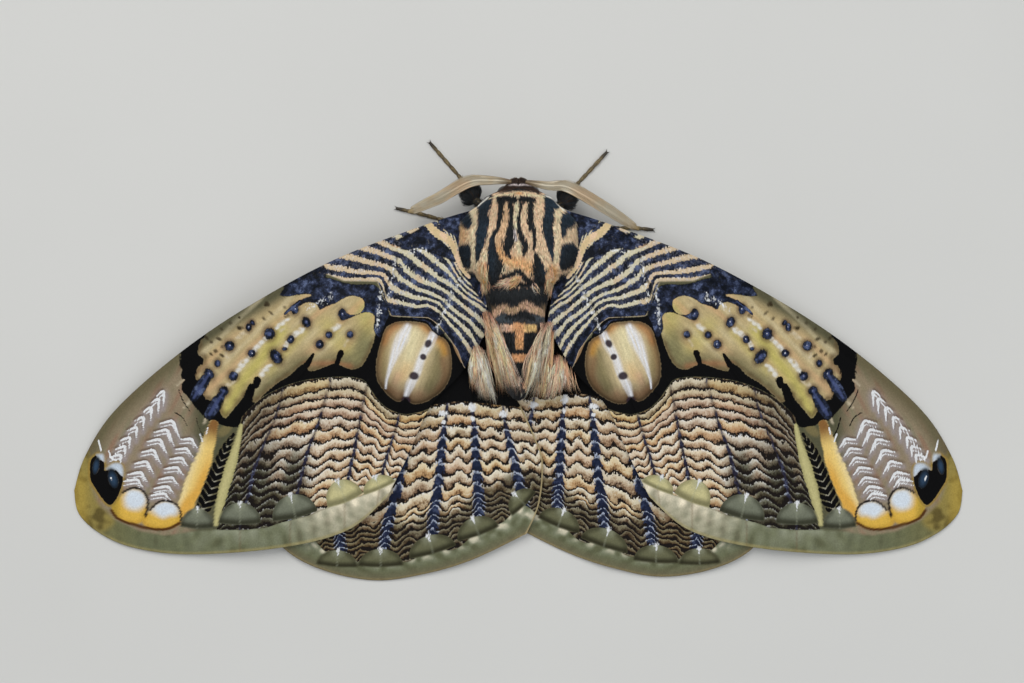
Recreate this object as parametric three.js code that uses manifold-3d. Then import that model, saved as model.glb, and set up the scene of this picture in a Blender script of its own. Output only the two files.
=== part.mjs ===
// A large brahmin moth at rest: four wings spread flat, head towards +Y, the body held off the floor
// by six legs. Millimetres, +Z up, the floor at z = 0 and the left side of the animal at -X.
import * as THREE from 'three';
import { mergeVertices } from 'three/addons/utils/BufferGeometryUtils.js';
import Module from 'manifold-3d';

const wasm = await Module();
wasm.setup();

const halfSpan = 70;
const wingThickness = 0.6;
const gap = 0.35;
const layerStep = wingThickness + gap;
const sides = { left: -1, right: 1 };

// The wings lie on one low dome, highest beside the thorax and down on the floor at its rim.
const dome = { rim: 0.2, height: 8, reach: 71, sideFall: 2.2, rearStart: 14, rearLength: 50, rearFall: 1.7 };
const valley = { depth: 0.4, width: 7.5 };
const costalRoll = { depth: 2.1, width: 2.4 };
const forewingLift = { full: 40, none: 54 };
const underlap = { full: 6, none: 15 };
const hindwingDrop = { left: 0.8, right: -0.6 };

const colours = {
  wing: 0xa8926a, underwing: 0xb49c78, fur: 0xd8ac84, abdomen: 0x8c7258, leg: 0x4c4030, feeler: 0xb09468, eye: 0x120c0a,
};

const vec2 = (list) => list.map(([x, y]) => new THREE.Vector2(x, y));
const vec3 = (list) => list.map(([x, y, z]) => new THREE.Vector3(x, y, z));

// Edges of a right-hand wing, seen from above. Each runs away from the body or away from the front.
const forewing = {
  costa: vec2([[6.4, 23.6], [13.8, 21.3], [28.3, 15.8], [42, 8.5], [53.3, 1], [63.4, -7.8], [68.2, -15], [halfSpan, -20.5]]),
  root: vec2([[6.4, 23.6], [5.8, 14.5], [4.4, 5.5]]),
  hind: vec2([[4.4, 5.5], [8.6, -1.6], [13.6, -7], [16.9, -14.2], [20.4, -21.2]]),
  outer: vec2([[halfSpan, -20.5], [69.2, -24.2], [65.6, -27.4], [60, -29.6], [51, -30.5], [36.4, -29.2], [26.5, -26.4],
    [20.4, -21.2]]),
};
const hindwing = {
  costa: vec2([[4.8, 9.5], [20, -0.5], [34, -10.5], [41, -19]]),
  root: vec2([[4.8, 9.5], [3.6, 3.5]]),
  hind: vec2([[3.6, 3.5], [2.2, -2], [-0.4, -6.4], [-2.4, -10.8], [-3.8, -15], [-3.3, -21.5], [-1.3, -26.4]]),
  outer: vec2([[41, -19], [40.4, -24.5], [36.4, -29.9], [30.3, -33], [22.5, -34.3], [15, -33.1], [7.5, -30.7], [-1.3, -26.4]]),
};

const smooth = (x, from, to) => THREE.MathUtils.smoothstep(x, from, to);

// Height of the top of the lowest full layer of wing at a point.
function domeHeight(x, y) {
  const across = 1 - (Math.abs(x) / dome.reach) ** dome.sideFall;
  const back = THREE.MathUtils.clamp((dome.rearStart - y) / dome.rearLength, 0, 1);
  const along = 1 - 1.03 * back ** dome.rearFall;
  const sunk = 1 - valley.depth * Math.exp(-((x / valley.width) ** 2));
  return dome.rim + dome.height * Math.max(across * along, 0) * sunk;
}

// A point of a four-sided patch bounded by the wing's edges: u runs outwards, v from front to back.
function patchPoint(edges, u, v) {
  const front = edges.costa.getPointAt(u);
  const back = edges.hind.getPointAt(u);
  const inner = edges.root.getPointAt(v);
  const outer = edges.outer.getPointAt(v);
  const [a, b] = [edges.costa.getPointAt(0), edges.costa.getPointAt(1)];
  const [c, d] = [edges.hind.getPointAt(0), edges.hind.getPointAt(1)];
  const mix = (key) => (1 - v) * front[key] + v * back[key] + (1 - u) * inner[key] + u * outer[key]
    - (1 - u) * (1 - v) * a[key] - u * (1 - v) * b[key] - (1 - u) * v * c[key] - u * v * d[key];
  return new THREE.Vector2(mix('x'), mix('y'));
}

function edgeCurves(outline) {
  return Object.fromEntries(Object.entries(outline).map(([name, points]) => [name, new THREE.SplineCurve(points)]));
}

// A sheet with a top given by heightOf(x, y, inset), where inset is the distance behind the front edge.
function wingSheet(outline, side, heightOf, { spanCells, chordCells, grow = 0 }) {
  const edges = edgeCurves(outline);
  const positions = [];
  const index = [];
  const columns = chordCells + 1;
  const layer = (spanCells + 1) * columns;
  for (const drop of [-grow, wingThickness + grow]) {
    for (let i = 0; i <= spanCells; i += 1) {
      const front = edges.costa.getPointAt(i / spanCells);
      for (let j = 0; j <= chordCells; j += 1) {
        const p = patchPoint(edges, i / spanCells, j / chordCells);
        positions.push(side * p.x, p.y, heightOf(p.x, p.y, p.distanceTo(front)) - drop);
      }
    }
  }
  const quad = (a, b, c, d) => {
    if (side > 0) index.push(a, b, c, a, c, d);
    else index.push(a, c, b, a, d, c);
  };
  const at = (i, j) => i * columns + j;
  for (let i = 0; i < spanCells; i += 1) {
    for (let j = 0; j < chordCells; j += 1) {
      quad(at(i, j), at(i, j + 1), at(i + 1, j + 1), at(i + 1, j));
      quad(layer + at(i, j), layer + at(i + 1, j), layer + at(i + 1, j + 1), layer + at(i, j + 1));
    }
    quad(at(i, 0), at(i + 1, 0), layer + at(i + 1, 0), layer + at(i, 0));
    quad(at(i + 1, chordCells), at(i, chordCells), layer + at(i, chordCells), layer + at(i + 1, chordCells));
  }
  for (let j = 0; j < chordCells; j += 1) {
    quad(at(0, j + 1), at(0, j), layer + at(0, j), layer + at(0, j + 1));
    quad(at(spanCells, j), at(spanCells, j + 1), layer + at(spanCells, j + 1), layer + at(spanCells, j));
  }
  return indexed(positions, index);
}

function indexed(positions, index) {
  const geometry = new THREE.BufferGeometry();
  geometry.setAttribute('position', new THREE.Float32BufferAttribute(positions, 3));
  geometry.setIndex(index);
  return geometry;
}

// A closed skin over rings of equal length, each ring turning anticlockwise about the way they advance.
function loft(rings) {
  const count = rings[0].length;
  const positions = rings.flat().flatMap((p) => p.toArray());
  const index = [];
  for (let r = 0; r + 1 < rings.length; r += 1) {
    for (let k = 0; k < count; k += 1) {
      const [a, b] = [r * count + k, r * count + (k + 1) % count];
      index.push(a, b, b + count, a, b + count, a + count);
    }
  }
  const cap = (ring, first, flip) => {
    const centre = ring.reduce((sum, p) => sum.add(p), new THREE.Vector3()).divideScalar(count);
    const hub = positions.length / 3;
    positions.push(...centre.toArray());
    for (let k = 0; k < count; k += 1) {
      const [a, b] = [first + k, first + (k + 1) % count];
      index.push(...(flip ? [hub, b, a] : [hub, a, b]));
    }
  };
  cap(rings[0], 0, true);
  cap(rings.at(-1), (rings.length - 1) * count, false);
  return indexed(positions, index);
}

// A body section across the Y axis: half widths above and below, and heights of top, waist and bottom.
function trunkRing({ y, wide, belly = wide, top, waist, bottom }, count, grow) {
  const ring = [];
  for (let k = 0; k < count; k += 1) {
    const angle = (2 * Math.PI * k) / count;
    const upper = Math.sin(angle) >= 0;
    const reach = upper ? wide : wide + (belly - wide) * Math.min(1, -2 * Math.sin(angle));
    const rise = upper ? top - waist : waist - bottom;
    ring.push(new THREE.Vector3((reach + grow) * Math.cos(angle), y, waist + (rise + grow) * Math.sin(angle)));
  }
  return ring;
}

// Rings are listed from the front to the back, and grow pushes the whole surface outwards.
function trunk(stations, count, grow = 0) {
  const last = stations.length - 1;
  const rings = stations.map((station, i) => {
    const y = station.y + (i === 0 ? grow : 0) - (i === last ? grow : 0);
    return trunkRing({ ...station, y }, count, grow);
  });
  return loft(rings);
}

// A limb or feeler: an oval section carried along a curve, its half width and half depth given by t.
function limb(points, section, { steps, count, grow = 0 }) {
  const curve = new THREE.CatmullRomCurve3(points, false, 'centripetal');
  const up = new THREE.Vector3(0, 0, 1);
  const rings = [];
  for (let i = 0; i <= steps; i += 1) {
    const t = i / steps;
    const centre = curve.getPointAt(t);
    const ahead = curve.getTangentAt(t);
    const across = new THREE.Vector3().crossVectors(up, ahead).normalize();
    const rise = new THREE.Vector3().crossVectors(ahead, across);
    const [halfWidth, halfDepth] = section(t);
    const ring = [];
    for (let k = 0; k < count; k += 1) {
      const angle = (2 * Math.PI * k) / count + Math.PI / count;
      ring.push(centre.clone()
        .addScaledVector(across, (halfWidth + grow) * Math.cos(angle))
        .addScaledVector(rise, (halfDepth + grow) * Math.sin(angle)));
    }
    rings.push(ring);
  }
  return loft(rings);
}

function ball(centre, radii, grow = 0) {
  const geometry = new THREE.SphereGeometry(1, 14, 10);
  geometry.rotateX(Math.PI / 2);
  geometry.scale(...radii.map((r) => r + grow));
  return geometry.translate(...centre);
}

function toSolid(geometry) {
  const bare = geometry.clone();
  bare.deleteAttribute('normal');
  bare.deleteAttribute('uv');
  const merged = mergeVertices(bare, 1e-5);
  const vertProperties = new Float32Array(merged.attributes.position.array);
  const triVerts = new Uint32Array(merged.index.array);
  return new wasm.Manifold(new wasm.Mesh({ numProp: 3, vertProperties, triVerts }));
}

function toGeometry(solid) {
  const mesh = solid.getMesh();
  return indexed(Array.from(mesh.vertProperties), Array.from(mesh.triVerts));
}

const moth = new THREE.Group();

function place(name, geometry, color, roughness) {
  const mesh = new THREE.Mesh(geometry, new THREE.MeshStandardMaterial({ color, roughness, metalness: 0 }));
  mesh.name = name;
  moth.add(mesh);
}

const underFloor = toSolid(new THREE.BoxGeometry(200, 200, 10).translate(0, 0, -5));
const flatFooted = (solid) => toGeometry(solid.subtract(underFloor));

// Trunk stations with the coat included, from front to back.
const thorax = [
  { y: 26.5, wide: 3.6, top: 10.6, waist: 9.4, bottom: 8.3 },
  { y: 25.7, wide: 5.4, top: 11.4, waist: 8.9, bottom: 6.9 },
  { y: 24.2, wide: 7.4, top: 12.1, waist: 7.8, bottom: 3.9 },
  { y: 21.6, wide: 8.9, top: 12.5, waist: 7.3, bottom: 2.4 },
  { y: 18.4, wide: 9.4, top: 12.6, waist: 7.4, bottom: 2.2 },
  { y: 15.4, wide: 8.8, top: 12.2, waist: 7.4, bottom: 2.4 },
  { y: 13, wide: 7, top: 11.5, waist: 7.2, bottom: 2.9 },
  { y: 11.6, wide: 4.6, top: 10.4, waist: 7, bottom: 3.8 },
];
const abdomen = [
  { y: 11.2, wide: 4, top: 9.8, waist: 6.8, bottom: 4 },
  { y: 8.4, wide: 4.5, top: 10.2, waist: 6.6, bottom: 3.2 },
  { y: 4.5, wide: 4.3, top: 9.9, waist: 6.6, bottom: 3.2 },
  { y: 0.5, wide: 3.7, top: 9.4, waist: 6.8, bottom: 4 },
  { y: -3, wide: 2.8, top: 8.8, waist: 7, bottom: 5.2 },
  { y: -5.8, wide: 1.6, top: 8, waist: 6.9, bottom: 5.8 },
];
// Long hair that lies back from the wing roots, over the wings on both sides of the abdomen.
const hairCape = [
  { y: 10.6, wide: 5, belly: 3, top: 9.6, waist: 7.4, bottom: 5.6 },
  { y: 7.4, wide: 6.6, belly: 3, top: 10, waist: 7.2, bottom: 5 },
  { y: 3, wide: 7.9, belly: 3, top: 9.7, waist: 7, bottom: 5 },
  { y: -1, wide: 8, belly: 2.6, top: 9.2, waist: 6.6, bottom: 5 },
  { y: -4.4, wide: 6.9, belly: 2.2, top: 8.5, waist: 6, bottom: 5 },
  { y: -6.6, wide: 5.2, belly: 1.6, top: 7.7, waist: 5.8, bottom: 4.9 },
  { y: -7.6, wide: 3.4, belly: 1, top: 7, waist: 5.8, bottom: 5 },
];
const trunkCount = 20;
const trunkGrown = toSolid(trunk(thorax, trunkCount, gap)).add(toSolid(trunk(abdomen, trunkCount, gap)));

function buildWings() {
  const grid = { spanCells: 21, chordCells: 14 };
  const hindGrid = { spanCells: 14, chordCells: 12 };
  let cover = null;
  for (const [name, side] of Object.entries(sides)) {
    const foreHeight = (x, y, inset) => {
      const lift = layerStep * (1 - smooth(Math.abs(x), forewingLift.full, forewingLift.none));
      const roll = costalRoll.depth * Math.exp(-inset / costalRoll.width) * (domeHeight(x, y) / dome.height);
      return domeHeight(x, y) + lift - roll;
    };
    const lowered = side < 0 ? 0 : layerStep;
    const hindHeight = (x, y) => domeHeight(x, y) - lowered * (1 - smooth(Math.abs(x), underlap.full, underlap.none));
    const outer = hindwing.outer.map((p) => {
      const nearness = 1 - smooth(p.x, 0, hindwing.outer[0].x);
      return new THREE.Vector2(p.x, p.y - hindwingDrop[name] * (p.x > 0 ? nearness : 0));
    });
    const hindOutline = { ...hindwing, outer };
    const fore = toSolid(wingSheet(forewing, side, foreHeight, grid));
    const hind = toSolid(wingSheet(hindOutline, side, hindHeight, hindGrid));
    place(`forewing_${name}`, flatFooted(fore.subtract(trunkGrown)), colours.wing, 0.6);
    place(`hindwing_${name}`, flatFooted(hind.subtract(trunkGrown)), colours.underwing, 0.65);
    const covered = toSolid(wingSheet(forewing, side, foreHeight, { ...grid, grow: gap }))
      .add(toSolid(wingSheet(hindOutline, side, hindHeight, { ...hindGrid, grow: gap })));
    cover = cover ? cover.add(covered) : covered;
  }
  return cover;
}

function buildTrunk(cover) {
  const chest = toSolid(trunk(thorax, trunkCount));
  place('thorax', toGeometry(chest), colours.fur, 0.9);
  const cape = toSolid(trunk(hairCape, trunkCount)).subtract(cover);
  const tail = toSolid(trunk(abdomen, trunkCount)).add(cape);
  place('abdomen', toGeometry(tail.subtract(toSolid(trunk(thorax, trunkCount, gap)))), colours.abdomen, 0.9);
}

const head = { centre: [0, 26.2, 5.5], radii: [2.4, 2.4, 2.6] };
const eye = { across: 2.15, y: 26.1, z: 4.6, radius: 1.2 };
const palp = [[0.75, 26.4, 3.4], [0.85, 27.6, 3.1], [0.8, 28.4, 4.2]];
const feeler = {
  left: [[1.1, 27.7, 7.2], [4.2, 27.9, 7.5], [7.6, 27.7, 7], [12, 25.5, 5.7], [17.2, 23.1, 4.2]],
  right: [[1.1, 27.7, 7.2], [4.4, 27.1, 7.5], [7.6, 26.9, 7], [12.4, 24.4, 5.7], [18.8, 20.4, 4.2]],
};

function mirrored(points, side) {
  return vec3(points.map(([x, y, z]) => [side * x, y, z]));
}

function buildHead() {
  let skull = toSolid(ball(head.centre, head.radii)).subtract(toSolid(trunk(thorax, trunkCount, gap)));
  const palpSize = () => [0.5, 0.45];
  const feelerSize = (t) => [0.3 + 0.75 * Math.max(0, Math.sin(Math.PI * t)) ** 0.7, 0.3];
  for (const [name, side] of Object.entries(sides)) {
    const centre = [side * eye.across, eye.y, eye.z];
    const radii = [eye.radius, eye.radius, eye.radius];
    const palpPath = mirrored(palp, side);
    const feelerPath = mirrored(feeler[name], side);
    place(`eye_${name}`, ball(centre, radii), colours.eye, 0.2);
    place(`palp_${name}`, limb(palpPath, palpSize, { steps: 5, count: 8 }), colours.fur, 0.9);
    place(`antenna_${name}`, limb(feelerPath, feelerSize, { steps: 14, count: 8 }), colours.feeler, 0.7);
    skull = skull
      .subtract(toSolid(ball(centre, radii, gap)))
      .subtract(toSolid(limb(palpPath, palpSize, { steps: 5, count: 8, grow: gap })))
      .subtract(toSolid(limb(feelerPath, feelerSize, { steps: 14, count: 8, grow: gap })));
  }
  place('head', toGeometry(skull), colours.fur, 0.9);
}

// Each leg from its hip under the thorax, over the knee and the ankle, to the claws on the floor.
const footRadius = 0.34;
const sole = footRadius - 0.08;
const legs = {
  foreleg_left: [[-2.4, 22.6, 3.6], [-6.3, 24.6, 5.3], [-7.6, 26.4, 3.6], [-8.9, 28.5, sole], [-11.4, 31.4, sole], [-14, 34.4, sole]],
  foreleg_right: [[2.4, 22.6, 3.6], [6.4, 24.2, 5.3], [7.7, 25.7, 3.6], [9.2, 27.7, sole], [11.6, 30.3, sole], [14, 32.9, sole]],
  midleg_left: [[-3, 18.6, 3.2], [-7.4, 20.4, 5], [-10, 21.4, 2.6], [-12.2, 22.2, sole], [-15.8, 23.2, sole], [-19.3, 24, sole]],
  midleg_right: [[3, 18.4, 3.2], [8, 20, 5], [12, 20.5, 2.6], [14.6, 20.8, sole], [18, 20.9, sole], [21.3, 20.6, sole]],
  hindleg_left: [[-3, 15, 3.2], [-8.4, 12.4, 4.6], [-12.4, 8.6, 2.4], [-15, 6, sole], [-17.4, 3.6, sole], [-20, 1.2, sole]],
  hindleg_right: [[3, 15, 3.2], [8.2, 12.2, 4.6], [12, 8.2, 2.4], [14.6, 5.6, sole], [17, 3, sole], [19.4, 0.4, sole]],
};

function buildLegs() {
  const thighRadius = 0.85;
  const thickness = (t) => {
    const radius = footRadius + (thighRadius - footRadius) * (1 - smooth(t, 0.12, 0.5));
    return [radius, radius];
  };
  for (const [name, points] of Object.entries(legs)) {
    const leg = toSolid(limb(vec3(points), thickness, { steps: 16, count: 6 }));
    place(name, flatFooted(leg.subtract(trunkGrown)), colours.leg, 0.6);
  }
}

buildTrunk(buildWings());
buildHead();
buildLegs();

// The origin is on the floor, under the middle of the whole animal.
const box = new THREE.Box3().setFromObject(moth);
const middle = box.getCenter(new THREE.Vector3());
moth.position.set(-middle.x, -middle.y, 0);

export default moth;
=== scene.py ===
import bpy
import numpy as np
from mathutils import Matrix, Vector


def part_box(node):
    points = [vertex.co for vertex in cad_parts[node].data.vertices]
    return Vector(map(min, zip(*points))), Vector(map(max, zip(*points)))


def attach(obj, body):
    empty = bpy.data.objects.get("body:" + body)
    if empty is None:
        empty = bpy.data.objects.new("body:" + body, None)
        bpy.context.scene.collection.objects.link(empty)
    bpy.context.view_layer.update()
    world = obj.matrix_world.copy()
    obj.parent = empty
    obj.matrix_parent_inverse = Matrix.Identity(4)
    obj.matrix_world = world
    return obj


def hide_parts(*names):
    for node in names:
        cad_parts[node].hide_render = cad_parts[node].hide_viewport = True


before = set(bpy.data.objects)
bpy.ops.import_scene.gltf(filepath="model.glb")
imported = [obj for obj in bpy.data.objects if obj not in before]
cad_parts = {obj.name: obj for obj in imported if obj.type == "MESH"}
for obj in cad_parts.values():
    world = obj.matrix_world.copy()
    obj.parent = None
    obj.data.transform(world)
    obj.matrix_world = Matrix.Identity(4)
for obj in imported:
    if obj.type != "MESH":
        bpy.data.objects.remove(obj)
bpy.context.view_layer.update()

# authored millimetres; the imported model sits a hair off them, so find that shift
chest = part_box("thorax")
shiftX = (chest[0].x + chest[1].x) * 500
shiftY = chest[0].y * 1000 - 11.6


def ease(start, end, value):
    t = np.clip((value - start) / (end - start), 0, 1)
    return t * t * (3 - 2 * t)


def fill(depth, width):
    # share covered, from the distance inside an edge that is soft over a width
    return np.clip(0.5 + depth / width, 0, 1)


def light(red, green, blue):
    # screen colour, 0 to 255, as scene light
    c = np.array([red, green, blue]) / 255
    return np.where(c <= 0.04045, c / 12.92, ((c + 0.055) / 1.055) ** 2.4)


def evenly(line, count):
    walk = np.concatenate([[0], np.cumsum(np.linalg.norm(np.diff(line, axis=0), axis=1))])
    at = np.linspace(0, walk[-1], count)
    return np.column_stack([np.interp(at, walk, line[:, k]) for k in range(line.shape[1])])


def smoothLine(points, count=None, perSpan=10):
    # a curve through the points, evenly spaced along its length when a count is given
    p = np.array(points, float)
    held = np.vstack([p[:1], p, p[-1:]])
    t = np.linspace(0, 1, perSpan, endpoint=False)[:, None]
    rows = []
    for k in range(len(p) - 1):
        a, b, c, d = held[k:k + 4]
        rows.append(b + 0.5 * ((c - a) * t + (2 * a - 5 * b + 4 * c - d) * t ** 2
                               + (3 * b - a - 3 * c + d) * t ** 3))
    line = np.vstack(rows + [p[-1:]])
    return line if count is None else evenly(line, count)


def alongLine(x, y, line, reach=5.0):
    # distance to an open line, the share along it, and the side (+1 left of its travel)
    distance = np.full(x.shape, 99.0)
    share = np.zeros(x.shape)
    side = np.ones(x.shape)
    low = line.min(0) - reach
    high = line.max(0) + reach
    near = (x > low[0]) & (x < high[0]) & (y > low[1]) & (y < high[1])
    if not near.any():
        return distance, share, side
    px = x[near]
    py = y[near]
    steps = np.diff(line, axis=0)
    sizes = np.linalg.norm(steps, axis=1)
    walk = np.concatenate([[0], np.cumsum(sizes)])
    best = np.full(px.shape, 1e9)
    bestShare = np.zeros(px.shape)
    bestSide = np.ones(px.shape)
    for k, (sx, sy) in enumerate(steps):
        rx = px - line[k, 0]
        ry = py - line[k, 1]
        t = np.clip((rx * sx + ry * sy) / max(sizes[k] ** 2, 1e-9), 0, 1)
        d = (rx - t * sx) ** 2 + (ry - t * sy) ** 2
        closer = d < best
        best[closer] = d[closer]
        bestShare[closer] = ((walk[k] + t * sizes[k]) / walk[-1])[closer]
        bestSide[closer] = np.where(sx * ry - sy * rx > 0, 1.0, -1.0)[closer]
    distance[near] = np.sqrt(best)
    share[near] = bestShare
    side[near] = bestSide
    return distance, share, side


def insideOutline(x, y, points, smooth=True):
    # distance inside a closed outline, negative outside it
    ring = points + points[:1]
    line = smoothLine(ring, perSpan=6) if smooth else np.array(ring, float)
    distance = alongLine(x, y, line)[0]
    within = np.zeros(x.shape, bool)
    for (ax, ay), (bx, by) in zip(line[:-1], line[1:]):
        if ay == by:
            continue
        crosses = (ay > y) != (by > y)
        within ^= crosses & (x < ax + (y - ay) * (bx - ax) / (by - ay))
    return np.where(within, distance, -distance)


def softNoise(x, y, size, seed):
    # smooth random field from a few seeded waves
    dice = np.random.default_rng(seed)
    total = np.zeros(x.shape)
    for k in range(9):
        angle = dice.uniform(0, 2 * np.pi)
        pitch = 2 * np.pi / (size * dice.uniform(0.6, 1.7))
        total += np.sin((x * np.cos(angle) + y * np.sin(angle)) * pitch + dice.uniform(0, 6.28))
    return total / 4.5


cameraPlan = {"lens": 85.0, "height": 0.3812, "x": -0.0010, "y": 0.0030}
cameraData = bpy.data.cameras.new("camera")
cameraData.lens = cameraPlan["lens"]
cameraData.sensor_width = 36.0
cameraData.clip_start = 0.01
camera = bpy.data.objects.new("camera", cameraData)
camera.location = (cameraPlan["x"], cameraPlan["y"], cameraPlan["height"])
bpy.context.scene.collection.objects.link(camera)
bpy.context.scene.camera = camera

lightPlan = {"window": {"place": (-0.22, 0.42, 0.62), "size": 0.55, "power": 3.4, "tint": (1, 0.985, 0.96)},
    "fill": {"place": (0.45, -0.25, 0.55), "size": 0.7, "power": 1.45, "tint": (0.95, 0.975, 1)},
    "overhead": {"place": (0.02, 0.05, 0.9), "size": 0.8, "power": 1.8, "tint": (1, 1, 1)},
    "sky": {"colour": (0.93, 0.96, 1), "strength": 0.31}, "exposure": 0.0}


def addLight(name, spec):
    lamp = bpy.data.lights.new(name, "AREA")
    lamp.shape = "SQUARE"
    lamp.size = spec["size"]
    lamp.energy = spec["power"]
    lamp.color = spec["tint"]
    holder = bpy.data.objects.new(name, lamp)
    holder.location = spec["place"]
    holder.rotation_euler = holder.location.to_track_quat("Z", "Y").to_euler()
    bpy.context.scene.collection.objects.link(holder)


for lampName in ("window", "fill", "overhead"):
    addLight(lampName, lightPlan[lampName])
sky = bpy.data.worlds.new("sky")
sky.use_nodes = True
skyInputs = sky.node_tree.nodes["Background"].inputs
skyInputs["Color"].default_value = (*lightPlan["sky"]["colour"], 1)
skyInputs["Strength"].default_value = lightPlan["sky"]["strength"]
bpy.context.scene.world = sky
bpy.context.scene.view_settings.view_transform = "Standard"
bpy.context.scene.view_settings.exposure = lightPlan["exposure"]


def makeMesh(name, points, quads=None, triangles=None, smooth=True):
    quads = np.zeros((0, 4), int) if quads is None else np.asarray(quads, int)
    triangles = np.zeros((0, 3), int) if triangles is None else np.asarray(triangles, int)
    mesh = bpy.data.meshes.new(name)
    mesh.vertices.add(len(points))
    place = np.asarray(points, float) + (shiftX, shiftY, 0)
    mesh.vertices.foreach_set("co", (place * 0.001).ravel())
    corners = np.concatenate([quads.ravel(), triangles.ravel()])
    mesh.loops.add(len(corners))
    mesh.loops.foreach_set("vertex_index", corners)
    starts = np.concatenate([np.arange(len(quads)) * 4, len(quads) * 4 + np.arange(len(triangles)) * 3])
    mesh.polygons.add(len(starts))
    mesh.polygons.foreach_set("loop_start", starts)
    mesh.polygons.foreach_set("use_smooth", np.full(len(starts), smooth))
    mesh.update(calc_edges=True)
    mesh.validate()
    return mesh


def gridFaces(ids):
    # one face for each cell of a grid of point numbers
    corners = (ids[:-1, :-1], ids[1:, :-1], ids[1:, 1:], ids[:-1, 1:])
    return np.column_stack([corner.ravel() for corner in corners])


def giveField(mesh, name, values):
    # one number, vector or colour for each point
    values = np.asarray(values, float)
    if values.ndim == 1:
        mesh.attributes.new(name, "FLOAT", "POINT").data.foreach_set("value", values)
    elif name.endswith("Colour"):
        full = np.column_stack([values, np.ones(len(values))])
        mesh.attributes.new(name, "FLOAT_COLOR", "POINT").data.foreach_set("color", full.ravel())
    else:
        mesh.attributes.new(name, "FLOAT_VECTOR", "POINT").data.foreach_set("vector", values.ravel())


def giveUnwrap(mesh, spots, adjust=None):
    # each point has one place on the map, unless adjust moves some face corners
    corner = np.zeros(len(mesh.loops), int)
    mesh.loops.foreach_get("vertex_index", corner)
    places = spots[corner]
    if adjust:
        places = adjust(places, corner)
    mesh.uv_layers.new(name="OFBake").data.foreach_set("uv", places.ravel())


def placePiece(name, mesh, material, slotName, *nodes):
    piece = bpy.data.objects.new(name, mesh)
    mesh.materials.append(material)
    bpy.context.scene.collection.objects.link(piece)
    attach(piece, "root")
    if nodes:
        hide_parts(*nodes)
    return piece


class Wiring:
    # short ways to add nodes to one tree
    def __init__(self, tree):
        self.tree = tree

    def add(self, kind, **settings):
        node = self.tree.nodes.new(kind)
        for key, value in settings.items():
            setattr(node, key, value)
        return node

    def feed(self, socket, value):
        if isinstance(value, bpy.types.NodeSocket):
            self.tree.links.new(value, socket)
        elif hasattr(value, "__len__") and socket.type == "RGBA":
            socket.default_value = (*value, 1)
        else:
            socket.default_value = value

    def maths(self, operation, *values):
        node = self.add("ShaderNodeMath", operation=operation)
        for socket, value in zip(node.inputs, values):
            self.feed(socket, value)
        return node.outputs[0]

    def soften(self, low, high, value, first=0.0, last=1.0):
        node = self.add("ShaderNodeMapRange", interpolation_type="SMOOTHSTEP")
        for key, number in (("From Min", low), ("From Max", high), ("To Min", first), ("To Max", last)):
            self.feed(node.inputs[key], number)
        self.feed(node.inputs["Value"], value)
        return node.outputs["Result"]

    def mix(self, share, first, second, kind="MIX"):
        node = self.add("ShaderNodeMix", data_type="RGBA", blend_type=kind)
        self.feed(node.inputs[0], share)
        self.feed(node.inputs[6], first)
        self.feed(node.inputs[7], second)
        return node.outputs[2]

    def noise(self, place, size, detail=2.0, stretch=None):
        # size is the rough width of one blotch in millimetres
        if stretch is not None:
            squeeze = self.add("ShaderNodeVectorMath", operation="MULTIPLY")
            self.feed(squeeze.inputs[0], place)
            squeeze.inputs[1].default_value = stretch
            place = squeeze.outputs[0]
        node = self.add("ShaderNodeTexNoise")
        self.feed(node.inputs["Vector"], place)
        node.inputs["Scale"].default_value = 1000.0 / size
        node.inputs["Detail"].default_value = detail
        return node.outputs["Fac"]

    def cells(self, place, size, feature="F1", wobble=1.0):
        node = self.add("ShaderNodeTexVoronoi", feature=feature)
        self.feed(node.inputs["Vector"], place)
        node.inputs["Scale"].default_value = 1000.0 / size
        node.inputs["Randomness"].default_value = wobble
        return node

    def field(self, name, output="Fac"):
        return self.add("ShaderNodeAttribute", attribute_name=name).outputs[output]

    def split(self, vector):
        node = self.add("ShaderNodeSeparateXYZ")
        self.feed(node.inputs[0], vector)
        return node.outputs[0], node.outputs[1], node.outputs[2]

    def place(self):
        return self.add("ShaderNodeTexCoord").outputs["Object"]

    def group(self, tree, **values):
        node = self.add("ShaderNodeGroup")
        node.node_tree = tree
        for key, value in values.items():
            self.feed(node.inputs[key.replace("_", " ").capitalize()], value)
        return node.outputs


socketKinds = {key: "NodeSocketColor" for key in ("Color", "Pale", "Deep", "Navy", "Cream")}
socketKinds["Place"] = "NodeSocketVector"


def startGroup(name, inputs, outputs):
    # a shader group with named sockets, numbers unless the name stands in socketKinds
    tree = bpy.data.node_groups.new(name, "ShaderNodeTree")
    for side, keys in (("INPUT", inputs), ("OUTPUT", outputs)):
        for key in keys.split(", "):
            tree.interface.new_socket(key, in_out=side, socket_type=socketKinds.get(key, "NodeSocketFloat"))
    wires = Wiring(tree)
    return wires, wires.add("NodeGroupInput").outputs, wires.add("NodeGroupOutput").inputs


def startMaterial(name, **settings):
    material = bpy.data.materials.new(name)
    material.use_nodes = True
    wires = Wiring(material.node_tree)
    shader = material.node_tree.nodes["Principled BSDF"]
    for key, value in settings.items():
        shader.inputs[key.replace("_", " ")].default_value = value
    return material, wires, shader


def addBump(wires, shader, height, strength, distance):
    bump = wires.add("ShaderNodeBump")
    bump.inputs["Strength"].default_value = strength
    bump.inputs["Distance"].default_value = distance
    wires.feed(bump.inputs["Height"], height)
    wires.feed(shader.inputs["Normal"], bump.outputs[0])


floorPlan = {"half": 1.6, "light": light(210, 210, 207), "dark": light(203, 203, 200), "steps": 24}


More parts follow.
